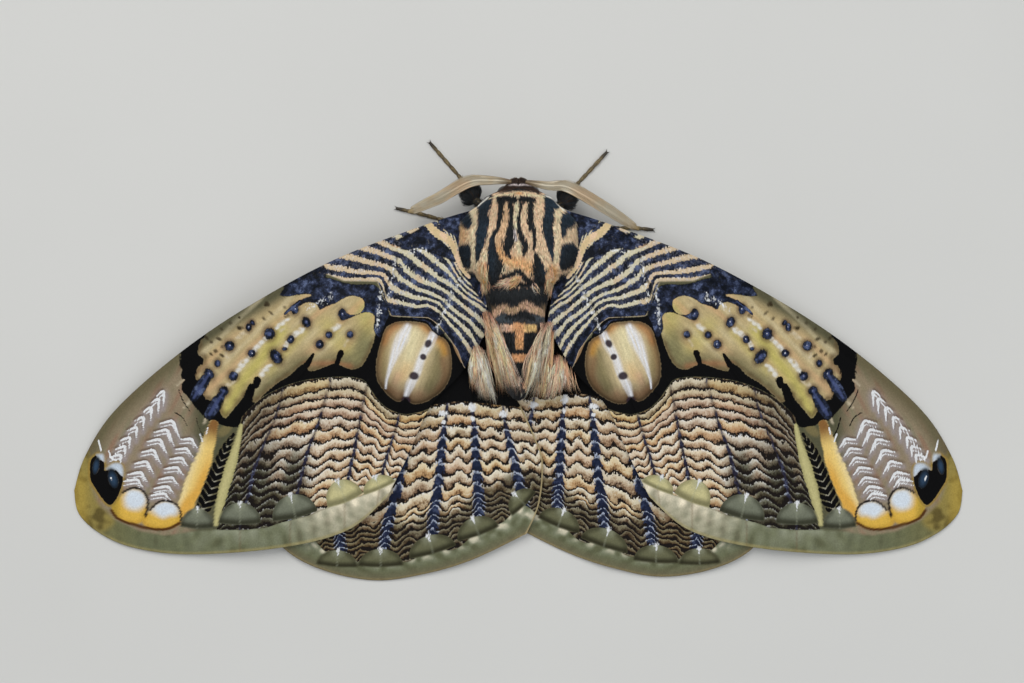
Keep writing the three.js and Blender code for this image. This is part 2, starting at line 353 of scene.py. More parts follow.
def makeFloor():
    n = floorPlan["steps"]
    line = np.linspace(-1, 1, n + 1) * floorPlan["half"] * 1000
    gx, gy = np.meshgrid(line, line, indexing="ij")
    points = np.column_stack([gx.ravel(), gy.ravel(), np.zeros(gx.size)])
    mesh = makeMesh("floor", points, gridFaces(np.arange(gx.size).reshape(gx.shape)))
    material, wires, shader = startMaterial("paleFloor", Specular_IOR_Level=0.2, Roughness=0.8)
    cloud = wires.noise(wires.place(), 60, 3)
    wires.feed(shader.inputs["Base Color"], wires.mix(cloud, floorPlan["dark"], floorPlan["light"]))
    mesh.materials.append(material)
    floor = bpy.data.objects.new("floor", mesh)
    bpy.context.scene.collection.objects.link(floor)


makeFloor()
print("camera, light and floor set")


wingPlan = {
    "rim": 0.2, "height": 8.0, "reach": 71.0, "sideFall": 2.2,
    "rearStart": 14.0, "rearLength": 50.0, "rearFall": 1.7,
    "valleyDepth": 0.4, "valleyWidth": 7.5,
    "rollDepth": 2.1, "rollWidth": 2.4, "layerStep": 0.95,
    "dropLeft": 0.8, "dropRight": -0.6,
    "sheet": 0.2, "sheetEdge": 0.09,
    "forewingSteps": (392, 220), "hindwingSteps": (248, 212), "coarse": 4,
}
foreEdges = {
    "costa": [(6.4, 23.6), (13.8, 21.3), (28.3, 15.8), (42, 8.5), (53.3, 1), (63.4, -7.8), (68.2, -15),
        (70, -20.5)],
    "root": [(6.4, 23.6), (5.8, 14.5), (4.4, 5.5)],
    "hind": [(4.4, 5.5), (8.6, -1.6), (13.6, -7), (16.9, -14.2), (20.4, -21.2)],
    "outer": [(70, -20.5), (69.2, -24.2), (65.6, -27.4), (60, -29.6), (51, -30.5), (36.4, -29.2),
        (26.5, -26.4), (20.4, -21.2)],
}
hindEdges = {
    "costa": [(4.8, 9.5), (20, -0.5), (34, -10.5), (41, -19)], "root": [(4.8, 9.5), (3.6, 3.5)],
    "hind": [(3.6, 3.5), (2.2, -2), (-0.4, -6.4), (-2.4, -10.8), (-3.8, -15), (-3.3, -21.5), (-1.3, -26.4)],
    "outer": [(41, -19), (40.4, -24.5), (36.4, -29.9), (30.3, -33), (22.5, -34.3), (15, -33.1),
        (7.5, -30.7), (-1.3, -26.4)],
}


def domeHeight(x, y):
    across = 1 - (np.abs(x) / wingPlan["reach"]) ** wingPlan["sideFall"]
    back = np.clip((wingPlan["rearStart"] - y) / wingPlan["rearLength"], 0, 1)
    along = 1 - 1.03 * back ** wingPlan["rearFall"]
    sunk = 1 - wingPlan["valleyDepth"] * np.exp(-(x / wingPlan["valleyWidth"]) ** 2)
    return wingPlan["rim"] + wingPlan["height"] * np.maximum(across * along, 0) * sunk


def spanPatch(edges, u, v):
    # a sheet stretched between four edge curves
    line = {key: smoothLine(points, 600) for key, points in edges.items()}

    def at(key, share):
        s = np.clip(share, 0, 1) * 599
        return np.column_stack([np.interp(s, np.arange(600), line[key][:, k]) for k in (0, 1)])

    cu = u[:, None]
    cv = v[:, None]
    corner = [line["costa"][0], line["costa"][-1], line["hind"][0], line["hind"][-1]]
    flat = (1 - cv) * at("costa", u) + cv * at("hind", u) + (1 - cu) * at("root", v) + cu * at("outer", v)
    flat -= (1 - cu) * (1 - cv) * corner[0] + cu * (1 - cv) * corner[1]
    flat -= (1 - cu) * cv * corner[2] + cu * cv * corner[3]
    return flat, at("costa", u)


def foreSurface(u, v):
    flat, costa = spanPatch(foreEdges, u, v)
    x, y = flat.T
    inset = np.hypot(*(flat - costa).T)
    dome = domeHeight(x, y)
    z = dome + wingPlan["layerStep"] * (1 - ease(40, 54, x))
    z -= wingPlan["rollDepth"] * np.exp(-inset / wingPlan["rollWidth"]) * dome / 8
    return x, y, z


def hindSurface(u, v, drop, lowered):
    flat, _ = spanPatch(hindEdges, u, v)
    x, y = flat.T
    y = y - drop * (1 - ease(0, 41, x))
    z = domeHeight(x, y) - lowered * (1 - ease(6, 15, x))
    return x, y, z


def drawnPlace(x, y, z):
    # markings are laid out flat, as a wing looks from reading height; raised parts spread a little
    grow = cameraPlan["height"] / (cameraPlan["height"] - z * 0.001)
    return x * grow, 3 + (y - 3) * grow


def shellGrid(steps, coarse):
    # faces of a thin shell: fine top, coarse underside, stitched round the rim
    nu, nv = steps
    top = np.arange((nu + 1) * (nv + 1)).reshape(nu + 1, nv + 1)
    mu, mv = nu // coarse, nv // coarse
    under = top.size + np.arange((mu + 1) * (mv + 1)).reshape(mu + 1, mv + 1)
    fine, rough = (np.concatenate([ids[:, 0], ids[-1, 1:], ids[-2::-1, -1], ids[0, -2:0:-1]])
                   for ids in (top, under))
    stitches = []
    for k, start in enumerate(rough):
        following = rough[(k + 1) % len(rough)]
        f = [fine[(k * coarse + n) % len(fine)] for n in range(coarse + 1)]
        stitches += [(start, f[0], f[1]), (start, f[1], f[2]), (start, f[2], following),
                     (following, f[2], f[3]), (following, f[3], f[4])]
    return np.vstack([gridFaces(top)[:, [0, 3, 2, 1]], gridFaces(under)]), np.array(stitches)


# wing markings: colours as they look on screen
paints = {"costa": light(88, 87, 65), "apexBrown": light(146, 131, 107), "apexRed": light(146, 108, 88),
    "podTan": light(190, 170, 126), "podPeach": light(202, 166, 124), "podYellow": light(194, 182, 104),
    "podOlive": light(124, 120, 86), "podPale": light(216, 204, 168), "cream": light(238, 229, 210),
    "orange": light(192, 165, 138), "peach": light(210, 172, 140), "greyOlive": light(128, 126, 98),
    "darkOlive": light(84, 82, 60), "marginOlive": light(108, 112, 84), "marginPale": light(156, 160, 137),
    "marginCream": light(240, 229, 202), "tipYellow": light(146, 131, 72),
    "bandYellow": light(240, 208, 126), "bandGold": light(222, 164, 62), "bandPale": light(240, 220, 164),
    "bandBrown": light(138, 98, 54), "streak": light(198, 190, 134), "lobeGrey": light(117, 121, 104),
    "lobeFoot": light(48, 48, 34), "lobeWhite": light(218, 228, 238), "lobeYellow": light(224, 182, 78),
    "lobeCream": light(206, 198, 146), "eyeTan": light(196, 178, 138), "eyeOlive": light(132, 122, 84),
    "eyeRim": light(140, 98, 60), "eyeCream": light(226, 206, 162), "stripeCream": light(208, 200, 170),
    "stripePeach": light(212, 184, 150), "lilac": light(156, 146, 144)}


def lean(target, share, colour):
    target += np.clip(share, 0, 1)[:, None] * (np.asarray(colour) - target)


def leanBoth(pale, deep, table):
    # rows of share, colour of the pale part of a band and colour of its deep part
    for share, paleTo, deepTo in table:
        lean(pale, share, light(*paleTo))
        lean(deep, share, light(*deepTo))


class MarkSheet:
    # colour fields that build up over a wing or the back: a ground colour and three inks
    def __init__(self, x, y, ground):
        self.x = x
        self.y = y
        self.ground = np.tile(ground, (len(x), 1))
        self.ink = {key: np.zeros(len(x)) for key in ("black", "navy", "white")}

    def tint(self, share, colour):
        lean(self.ground, share, colour)

    def shade(self, share, factor):
        self.ground *= (1 + np.clip(share, 0, 1) * (factor - 1))[:, None]

    def erase(self, share, *inks):
        for key in inks or self.ink:
            self.ink[key] *= 1 - np.clip(share, 0, 1)

    def cover(self, share, colour):
        self.erase(share)
        self.tint(share, colour)

    def pour(self, ink, field):
        self.ink[ink] = np.maximum(self.ink[ink], field)

    def strokeField(self, points, halves):
        line = smoothLine(points, perSpan=8) if len(points) > 2 else np.array(points, float)
        distance, share, _ = alongLine(self.x, self.y, line, 3.0 * np.max(halves) + 0.6)
        half = np.interp(share, np.linspace(0, 1, np.size(halves)), np.atleast_1d(halves))
        return np.exp(-np.log(2) * (distance / half) ** 2)

    def stroke(self, ink, points, halves, strength=1.0):
        self.pour(ink, strength * self.strokeField(points, halves))

    def strokes(self, ink, table, strength=1.0):
        for points, halves in table:
            self.stroke(ink, points, halves, strength)

    def localPlace(self, centre, radii, turn):
        c, s = np.cos(np.radians(turn)), np.sin(np.radians(turn))
        dx, dy = self.x - centre[0], self.y - centre[1]
        return (dx * c + dy * s) / radii[0], (dy * c - dx * s) / radii[1]

    def spotField(self, centre, radii, turn=0.0):
        a, b = self.localPlace(centre, radii, turn)
        return np.exp(-np.log(2) * (a * a + b * b))

    def spot(self, ink, centre, radii, turn=0.0, strength=1.0):
        radii = (radii, radii) if np.isscalar(radii) else radii
        self.pour(ink, strength * self.spotField(centre, radii, turn))

    def patchField(self, points, edge=0.35, smooth=True):
        return fill(insideOutline(self.x, self.y, points, smooth), 2 * edge)

    def band(self, points, halves, reach=4.0, edge=0.4):
        # mask of a ribbon, the place across it from -1 to 1, and the share along it
        distance, share, side = alongLine(self.x, self.y, smoothLine(points), reach)
        half = np.interp(share, np.linspace(0, 1, len(halves)), halves)
        return fill(half - distance, edge), distance * side / half, share


def wingFields(sheet, pale, deep, wave, base, waveZone, frost, relief):
    # what the wing shader reads at each point
    return {"groundColour": sheet.ground, "paleColour": pale, "deepColour": deep,
            "inks": np.column_stack([sheet.ink[key] for key in ("black", "navy", "white")]),
            "waveLines": np.column_stack(wave), "baseLines": np.column_stack(base), "waveZone": waveZone,
            "frostShare": frost, "relief": relief}


def guideCount(x, y, guides):
    # line number at a place, between numbered guide lines; numbers grow towards lower y
    heights = []
    for _, points in guides:
        p = smoothLine(points)
        p = p[np.argsort(p[:, 0])]
        heights.append(np.interp(x, p[:, 0], p[:, 1]))
    numbers = [number for number, _ in guides]
    first = np.maximum(heights[0] - heights[1], 0.3) / (numbers[1] - numbers[0])
    last = np.maximum(heights[-2] - heights[-1], 0.3) / (numbers[-1] - numbers[-2])
    count = numbers[0] - (y - heights[0]) / first
    for k in range(len(numbers) - 1):
        gap = np.maximum(heights[k] - heights[k + 1], 0.3)
        between = numbers[k] + (heights[k] - y) / gap * (numbers[k + 1] - numbers[k])
        count = np.where(y < heights[k], between, count)
    return np.where(y < heights[-1], numbers[-1] + (heights[-1] - y) / last, count)


def guideSpacing(x, y, guides):
    # millimetres from one line to the next, measured square to them
    base = guideCount(x, y, guides)
    sx = (guideCount(x + 0.15, y, guides) - base) / 0.15
    sy = (guideCount(x, y - 0.15, guides) - base) / 0.15
    return base, 1 / np.maximum(np.hypot(sx, sy), 0.25)


def veinFields(x, y, veins):
    # distance to the nearest vein, the share of the way across the cell between two veins, and its number
    crossings = []
    for points in veins:
        p = smoothLine(points)
        p = p[np.argsort(p[:, 1])]
        crossings.append(np.interp(y, p[:, 1], p[:, 0]))
    crossings = np.array(crossings)
    order = np.sort(crossings, axis=0)
    gap = np.min(np.abs(x - crossings), axis=0)
    share = np.zeros(len(x))
    for a, b in zip(order[:-1], order[1:]):
        here = (x >= a) & (x < b)
        share = np.where(here, (x - a) / np.maximum(b - a, 0.1), share)
    share = np.where(x < order[0], (x - order[0]) / 4.5, share)
    share = np.where(x >= order[-1], (x - order[-1]) / 4.5, share)
    return gap * 0.93, share, (x > order).sum(axis=0)


def cellTones(line, cell, seed):
    # three random numbers for each stretch of a band between two veins
    table = np.random.default_rng(seed).random((3, 211))
    return table[:, (np.floor(line).astype(int) * 29 + cell * 17) % 211]


def reliefAlong(x, y, lines):
    relief = np.zeros(len(x))
    for points in lines:
        distance = alongLine(x, y, smoothLine(points), 1.6)[0]
        relief = np.maximum(relief, np.exp(-(distance / 0.3) ** 2))
    return relief


# guide lines of the ringed dome on the forewing, from its rim down to the margin
domeGuides = [
    (0, [(47, -14.5), (44.5, -11.3), (43, -8.4), (40.4, -5.9), (37.4, -4.3), (34.4, -3.3), (31.3, -2.8),
        (27.4, -2.6), (24.7, -3), (23.6, -4.2), (22.2, -6.2), (20.6, -7.6), (18.1, -8.5), (15.8, -8.2),
        (14, -7.6), (12.2, -6.5), (10.5, -5.9), (6, -5)]),
    (1, [(48, -18), (45.2, -13.8), (43.3, -11.3), (41.4, -8.6), (39.7, -7.1), (37.3, -6.2), (33.6, -5),
        (30.6, -4.5), (26.6, -4.3), (24.7, -4.9), (22.9, -6.7), (21.5, -8.3), (19.8, -9.1), (17.5, -9.7),
        (15.7, -9.2), (13.9, -8.5), (11.6, -7.5), (6, -6.5)]),
    (4, [(48, -19.8), (45.8, -16.6), (43.9, -14), (41.9, -12.5), (39.8, -11.1), (36.8, -9.9), (33.7, -9.2),
        (29.4, -8.7), (26.3, -9), (23.4, -10), (20.9, -11.9), (17.9, -13), (15.5, -12.5), (12.8, -11.1),
        (6, -10)]),
    (7, [(48, -22.4), (46.4, -20.7), (45.2, -18.7), (43, -17.6), (40.6, -16.8), (37.4, -15.5),
        (34.4, -15.4), (31.3, -14.6), (28.1, -13.6), (25.9, -13.8), (23.1, -14.9), (20.3, -16.2),
        (17.1, -16.6), (14.7, -15.7), (6, -14)]),
    (10, [(49, -25.2), (47.7, -24.2), (46.1, -22.2), (43.9, -21.4), (41.4, -20.6), (37.9, -20.3),
        (35.7, -20.3), (32.9, -19.5), (28.9, -18.4), (25.8, -18.4), (22.6, -18.8), (19.5, -19.8),
        (10, -18)]),
    (13, [(49, -27.2), (46.4, -25.4), (43.1, -24.8), (37.9, -24.2), (32.9, -23.6), (28.1, -22.3),
        (21.8, -22), (10, -22)]),
]
domeVeins = [
    [(37, -3.6), (37.8, -7.5), (39.2, -11), (40.6, -14.4), (41.9, -17.9), (42.6, -21.2), (43.6, -23.9),
        (43.9, -26.4)],
    [(29.7, -3.5), (30.8, -7.3), (31.8, -10.5), (33.3, -14.6), (34.3, -18.8), (34.9, -21.2), (35.6, -23.6),
        (36, -26)],
    [(23.7, -3.3), (24.4, -5.9), (25, -9.4), (25.8, -13.8), (26.6, -17.3), (27, -19.5), (27.4, -23)],
    [(18.2, -5.5), (19, -9.5), (19.9, -12.5), (21, -16), (21.7, -18.8), (22.2, -22)],
]
# cream stripes over the wing base, numbered from the ocellus towards the shoulder
baseGuides = [
    (7, [(26, 23), (17.9, 19), (15.8, 17.9), (13.6, 16.1), (11.4, 14.3), (9.5, 12.1), (8, 10.6), (6.1, 9.4),
        (3, 7.4)]),
    (6, [(27, 21.2), (20.6, 18.1), (19, 17.5), (17.1, 16.8), (16.2, 15.8), (14.7, 14.7), (13.3, 13.6),
        (12, 12.6), (10.4, 11.7), (7.7, 9.5), (6.2, 8.7), (3, 5.8)]),
    (5, [(29, 19), (23.4, 17.4), (21.6, 16.9), (19.9, 16.2), (18.5, 15.5), (17.9, 14.4), (16.4, 13.2),
        (15, 12.4), (13.2, 11.8), (11.4, 10.8), (9.3, 9.1), (6.5, 6.7), (3, 3.8)]),
    (4, [(32, 17), (26.3, 16.3), (23.4, 15.4), (21.8, 15), (20.3, 14.6), (19.3, 14), (18.8, 13),
        (17.4, 12.2), (15.9, 11.3), (13.3, 10.3), (11.8, 9.5), (10.8, 8.4), (9.2, 7.2), (7.7, 6.2),
        (6.5, 4.8), (3, 1.6)]),
    (3, [(33, 15.6), (29.7, 14.7), (27.4, 14.3), (25.3, 13.9), (23.1, 13.8), (21.2, 13.5), (20.4, 12.2),
        (19.8, 11.3), (17.9, 10.5), (16.2, 9.9), (14.3, 9.7), (12.5, 9), (11.4, 7.7), (8.9, 5.5),
        (7.4, 3.9), (6.2, 1.7), (3, -1)]),
    (2, [(34, 14.3), (30.2, 13.3), (27.4, 12.8), (25, 12.8), (22.2, 12.8), (21.4, 11.9), (21.1, 10.6),
        (20.5, 9.5), (18.6, 9.1), (16.2, 8.5), (14.4, 8.7), (13.2, 8.1), (12, 7.2), (10.8, 5.8), (9.5, 4.4),
        (8.3, 2.6), (7.4, 1.2), (6.4, -0.9), (3, -5)]),
    (1, [(34, 12), (24, 11.2), (21.9, 10.8), (20.9, 8.6), (20, 7.9), (16.8, 7.5), (14.3, 7.6), (12.7, 6.7),
        (11.1, 4.6), (9.2, 2), (8.3, 0.4), (7.4, -1.4), (3, -8)]),
]
podOutline = [(49.6, 4.8), (50.4, 2.3), (50.5, 1), (49.6, 0.1), (50.7, -1.3), (51.2, -2.6), (50.2, -3.5),
    (49.8, -4.8), (49.7, -6.1), (48.8, -6.2), (47.8, -6.9), (46.9, -8.4), (46.2, -9.1), (45.2, -8),
    (43.9, -6.5), (42.8, -5.4), (41.7, -6.6), (40.4, -5.6), (38.2, -3.7), (36, -2.3), (34.8, -1.1),
    (33.6, -0.5), (32.9, -1.7), (30.5, -1), (28.8, -0.5), (26.5, -1.4), (24.8, -0.9), (23.6, 1), (22.6, 4),
    (22.6, 6.7), (23.3, 10.2), (28.1, 12.1), (36.8, 12.4), (43.9, 9.6), (49, 7)]
navyOutline = [(37.9, 10.2), (36, 12.2), (31, 13.2), (27.5, 12.4), (25.8, 12.1), (23.1, 12.1), (21.9, 11.4),
    (21.4, 10.2), (20.6, 8.7), (20.3, 7.2), (20.9, 5.8), (21.8, 3.5), (22.9, 4.8), (22.8, 7), (24, 7.5),
    (25.6, 7), (27, 6.4), (27.9, 6.3), (28.5, 7.2), (28.2, 8.1), (27.4, 8.3), (26.9, 7.5), (25.9, 7.3),
    (24.9, 7.7), (24.4, 8.8), (24.8, 9.7), (26.3, 10.1), (27.7, 9.6), (28.6, 9), (30.3, 8.4), (31.3, 7.9),
    (31.8, 8.7), (32.9, 9.1), (34.1, 8.7), (35.7, 7.7), (35.4, 8.8), (34, 9.8), (32.7, 10.3), (34.4, 10.3),
    (36.5, 10)]
darkOutline = [(49.2, 4.9), (51, 3.2), (52.1, 2), (52.8, 0.6), (53.2, -0.9), (52.7, -2.6), (53.1, -4.5),
    (52, -5.9), (50.3, -8), (48.5, -8.6), (47.2, -10), (45.8, -10.4), (44.2, -10.4), (43, -8.5), (40.4, -6),
    (37.4, -4.4), (34.4, -3.4), (31.3, -2.9), (27.4, -2.7), (24.7, -3.1), (23.6, -4.3), (22.2, -6.3),
    (20.6, -7.7), (18.1, -8.6), (15.8, -8.3), (14, -7.7), (12.2, -6.6), (10.5, -6), (5, -5), (5.5, -2.4),
    (7.9, -1.6), (9, 0.2), (9.9, 2), (11.4, 3.7), (12.6, 5.3), (13.4, 6.4), (15, 6.8), (18, 6.8),
    (20.5, 7.2), (21.6, 9), (23, 11), (30, 11), (43, 9)]
eyeOutline = [(18, 6.25), (19.6, 6), (21, 5), (21.65, 3.2), (22.3, 0.7), (22.5, -1.2), (22.3, -3.1),
    (21, -5), (19.4, -6.4), (18.3, -6.3), (17.8, -5.9), (16.9, -6.75), (15.5, -6.8), (13.8, -6.1),
    (11.9, -4.65), (10.8, -2.75), (10.5, -0.55), (10.8, 2), (11.6, 3.4), (12.7, 4), (13.6, 4.7), (14.6, 5.8),
    (16.1, 6.1)]
domeOutline = [(43.6, -8.9), (44.4, -13), (45.1, -16.6), (46, -20), (46.8, -23.3), (47.3, -26), (47, -31),
    (12, -31), (3, -16), (3, -5), (10.5, -5.9), (12.2, -6.5), (14, -7.6), (15.8, -8.2), (18.1, -8.5),
    (20.6, -7.6), (22.2, -6.2), (23.6, -4.2), (24.7, -3), (27.4, -2.6), (31.3, -2.8), (34.4, -3.3),
    (37.4, -4.3), (40.4, -5.9), (42.6, -7.8)]
marginInner = [(71, -13), (68.2, -14.9), (68.3, -18.8), (67, -22.4), (64, -25), (59.7, -26.9), (55.7, -27.6),
    (51.5, -27), (47.8, -26.7), (43.1, -26.7), (39.5, -26.3), (37.6, -25.6), (32.9, -24.4), (29.7, -23),
    (25.5, -21.6), (22.5, -20.4), (19, -18.5)]
stripeOutline = [(34.6, 14.8), (30, 13.6), (27.5, 12.6), (22.2, 12.5), (21.4, 10.5), (20.7, 8.4), (20, 7.1),
    (16.5, 6.9), (14.2, 6.8), (12.4, 5.5), (10.9, 3.6), (9.5, 1.6), (8.7, -0.8), (7.3, -2.6), (4.5, -3),
    (2, 6), (3, 26), (12, 26), (24, 21), (30, 17.6)]
foreVeins = [
    [(12, 5), (14, 2.6), (17.4, -5), (19, -9)], [(17.3, 6), (20.9, -3.9), (24, -6)],
    [(20, 12), (29.9, 4), (33.4, -1), (37, -5.6)],
    [(22, 12.5), (33.4, 6), (38.2, 0.7), (42.9, -6.8), (44, -12), (47.5, -26)],
    [(24, 13), (35.3, 8), (42, 1.2), (49.1, -9), (51, -14), (54, -24)],
    [(28, 13.5), (42.4, 5.4), (48.7, -2), (52.2, -6.2), (56, -14), (59, -24)],
    [(12, 20), (30, 13.6), (44, 6.4), (55, -2.4), (61, -10), (64, -20)],
]


def chevrons(sheet, apexes, leftArms, rightLegs, half):
    # pale hooks: a short arm outward and a long leg towards the margin, with a greyer step under each
    n = len(apexes)
    for k, (ax, ay) in enumerate(apexes):
        t = k / (n - 1)
        arm = np.array(leftArms[0]) * (1 - t) + np.array(leftArms[1]) * t
        leg = np.array(rightLegs[0]) * (1 - t) + np.array(rightLegs[1]) * t
        hook = [(ax + arm[0], ay + arm[1]), (ax + arm[0] * 0.45, ay + arm[1] * 0.2), (ax, ay),
                (ax + leg[0] * 0.5, ay + leg[1] * 0.5), (ax + leg[0], ay + leg[1])]
        low = [(px, py - 0.45) for px, py in hook]
        lower = [(px + 0.1, py - 0.62) for px, py in hook[:-1]]
        sheet.tint(sheet.strokeField(low, [0.4, 0.6, 0.65, 0.55, 0.3]) * 0.95, paints["lilac"])
        above = [(px + 0.12, py + 0.3) for px, py in hook]
        sheet.tint(sheet.strokeField(above, [0.1, 0.16, 0.18, 0.14, 0.1]) * 0.75, light(88, 66, 52))
        sheet.stroke("white", hook, [half * 0.5, half * 1.1, half * 1.3, half, half * 0.45], 0.86)
        sheet.stroke("white", lower, [half * 0.4, half * 0.7, half * 0.7, half * 0.4], 0.75)


def halfMoon(sheet, base, radii, turn, colour, foot, wedge=0.2):
    # half-moon standing on the margin: round top, dark soft foot, pale wedge where its vein comes in
    a, b = sheet.localPlace(base, radii, turn)
    top = (1 - np.hypot(a, b)) * min(radii)
    floor = (b + 0.10 * (1 - a * a)) * radii[1]
    inside = fill(np.minimum(top, floor), 0.3)
    sheet.cover(inside, colour)
    sheet.tint(inside * (1 - ease(0.1, 0.9, top)) * ease(0.1, 0.5, np.abs(a)) * 0.6, foot)
    sheet.tint(inside * ease(0.34, 0, b - 0.1 * np.abs(a)) * 0.9, foot)
    sheet.tint(inside * ease(0.3, 0.9, b) * ease(0.45, 0.1, np.abs(a)) * 0.5, paints["marginPale"])
    sheet.tint(inside * np.exp(-(a / 0.03) ** 2) * 0.4, paints["marginPale"])
    crown = np.clip(1.2 - np.abs(a) / np.maximum(0.02 + wedge * (b - 0.45), 0.001), 0, 1)
    burst = np.exp(-(np.hypot(a * radii[0], (b - 1) * radii[1]) / 0.75) ** 2) * 0.58
    sheet.pour("white", np.maximum(np.clip(crown * ease(0.3, 0.7, b) * (top > -0.2), 0, 1) * 0.66, burst))
    return inside


# navy dots as centre, radii and turn; small dark scales as centres; the rest as lines with half widths
inkTables = {
    "dots": (
        ((35.24, 8.06), (0.6, 0.82), -10), ((33.4, 6.05), (0.68, 0.9), -25), ((39.2, 4.2), (0.86, 0.96), 0),
        ((35.86, 3.33), (0.55, 0.68), 20), ((36.8, 1.83), (0.4, 0.32), 0), ((38.14, 0.6), (0.84, 1.32), -33),
        ((42, 1.14), (0.64, 0.64), 0), ((45.5, 2.32), (0.8, 0.82), 0), ((42.5, 5.25), (0.5, 0.7), 0),
        ((41.9, 5.95), (0.5, 0.34), 50), ((47.37, -0.44), (0.5, 0.6), 0), ((44.9, -2.45), (0.74, 0.78), 0),
        ((48.74, -2.1), (0.72, 0.95), -40), ((29.85, 4.05), (0.58, 0.58), 0),
        ((31.3, 2.55), (0.66, 0.72), 0), ((26.5, 4.1), (0.55, 0.58), 0), ((27.75, 7.3), (0.55, 0.85), 0),
        ((46.4, -4.8), (0.76, 0.8), 0)),
    "scales": ((39.6, 8.9), (39.9, 8.7), (40.2, 6.7), (40, 6.5), (44, 6.8), (44, 5.1), (46.8, 4.95),
        (47.2, 3.4), (48.4, 2.9), (46.7, 2.2), (48.4, 1), (47.7, 1.5), (46.7, 0.8), (49.2, 3.6), (36.4, 7.3),
        (36.7, 6.9), (39, 7.5), (36.8, 8.4), (45.4, 5.9), (43.6, 5.2)),
    "drops": (
        ([(48.9, -2.4), (49.6, -3.4), (50.4, -4.6), (51.2, -5.9)], [0.7, 0.95, 1, 0.7]),
        ([(46.6, -5.2), (47.2, -6.1), (47.9, -7.2), (48.7, -8.5)], [0.6, 0.95, 1.1, 0.9]),
        ([(34.4, 9.3), (36.2, 7.9), (36.8, 7.3)], [0.3, 0.28, 0.18])),
    "notches": (
        ([(28, 1.2), (28.7, -0.7)], [0.5, 0.35]), ([(32.3, 1), (33.3, -0.6)], [0.2, 0.5]),
        ([(41.1, -3.1), (41.3, -3.9)], [0.6, 0.5]),
        ([(42, -4.2), (42.4, -5.2), (42.9, -6.8)], [0.6, 0.75, 0.8]),
        ([(50, 4.2), (51.3, 3), (52, 1.2), (52.2, -0.6)], [0.7, 1, 1.3, 1.2]),
        ([(50.9, -0.3), (51.9, -1.6), (51.9, -3.6), (51.4, -5)], [0.8, 1.2, 1.1, 0.9]),
        ([(52, 0.1), (51, -0.1), (50.1, -0.3)], [0.7, 0.5, 0.4]),
        ([(50.2, -6), (49.7, -7.3), (48.6, -8.6), (47.6, -9.2)], [0.8, 0.9, 0.9, 0.9])),
    "dashes": (
        ([(36.2, 6.56), (37.2, 5.9), (38.1, 5.16)], [0.2, 0.36, 0.3]),
        ([(39.9, 3.4), (41.5, 1.75)], [0.32, 0.4]),
        ([(42.5, 0.43), (43.6, -0.7), (44.3, -1.84)], [0.3, 0.46, 0.34]),
        ([(34.1, 4.8), (35.2, 4.1)], [0.45, 0.45]), ([(36.4, 2.8), (36.7, 2.3)], [0.3, 0.34]),
        ([(39, -0.8), (39.7, -1.3), (40.6, -2.4)], [0.3, 0.5, 0.4]),
        ([(28.4, 5.4), (29.2, 4.9)], [0.45, 0.35])),
    "palePatches": (
        ([(43.2, 4.3), (44.3, 3.5)], [0.45, 0.4]), ([(46.1, 1), (45.9, 0.5)], [0.35, 0.3]),
        ([(44.8, -3.2), (45.8, -3.9)], [0.4, 0.36]), ([(26.9, 3.2), (27.5, 2.2)], [0.22, 0.2]),
        ([(51.8, -6.3), (52.7, -7.4)], [0.34, 0.24]), ([(49.3, -9.3), (49.6, -10.1)], [0.3, 0.2]),
        ([(52.8, -3), (53.9, -3.9)], [0.14, 0.2]), ([(37, 5), (37.4, 4.6)], [0.3, 0.3])),
}


# the two pale lobes and the black double spot at the wing tip
tipLobes = (
    [(62.7, -21.4), (62, -20.7), (60.8, -20.3), (59.6, -20.6), (58.9, -21.4), (58.6, -22.8), (58.8, -24.6),
        (59.6, -25.6), (61.2, -25.7), (62.8, -25.1), (63.9, -24), (64.1, -22.7), (63.4, -21.8)],
    [(58.9, -24.6), (57.9, -23.4), (56.9, -22.6), (55.5, -22.3), (54.3, -22.7), (53.5, -23.6),
        (53.3, -25.1), (54.1, -26.2), (55.9, -26.6), (57.9, -26.4), (59.2, -25.7)],
)
tipWhites = (((60.4, -21.9), (1.75, 1.6)), ((55.7, -23.4), (2, 1.25)))
tipLines = (
    ([(62.4, -20.8), (60.8, -20.1), (59.4, -20.4), (58.5, -21.6), (58.45, -22.8), (58.8, -24.6)], 0.16),
    ([(58.1, -23.6), (56.9, -22.45), (55.7, -22.1), (54.1, -22.6), (53.3, -23.8), (53.2, -25.2)], 0.14),
)
doubleSpot = [(66.3, -14.7), (67.4, -15.7), (67.55, -17.5), (67.4, -18.9), (66.7, -20.1), (65.5, -21.9),
    (64.4, -22.8), (63.5, -22), (62.9, -20.8), (62.4, -19.2), (62.3, -17.4), (62.6, -16.4), (63.6, -16.1),
    (64.6, -16.8), (65.2, -17.5), (65.3, -16.3), (65.5, -15.1)]


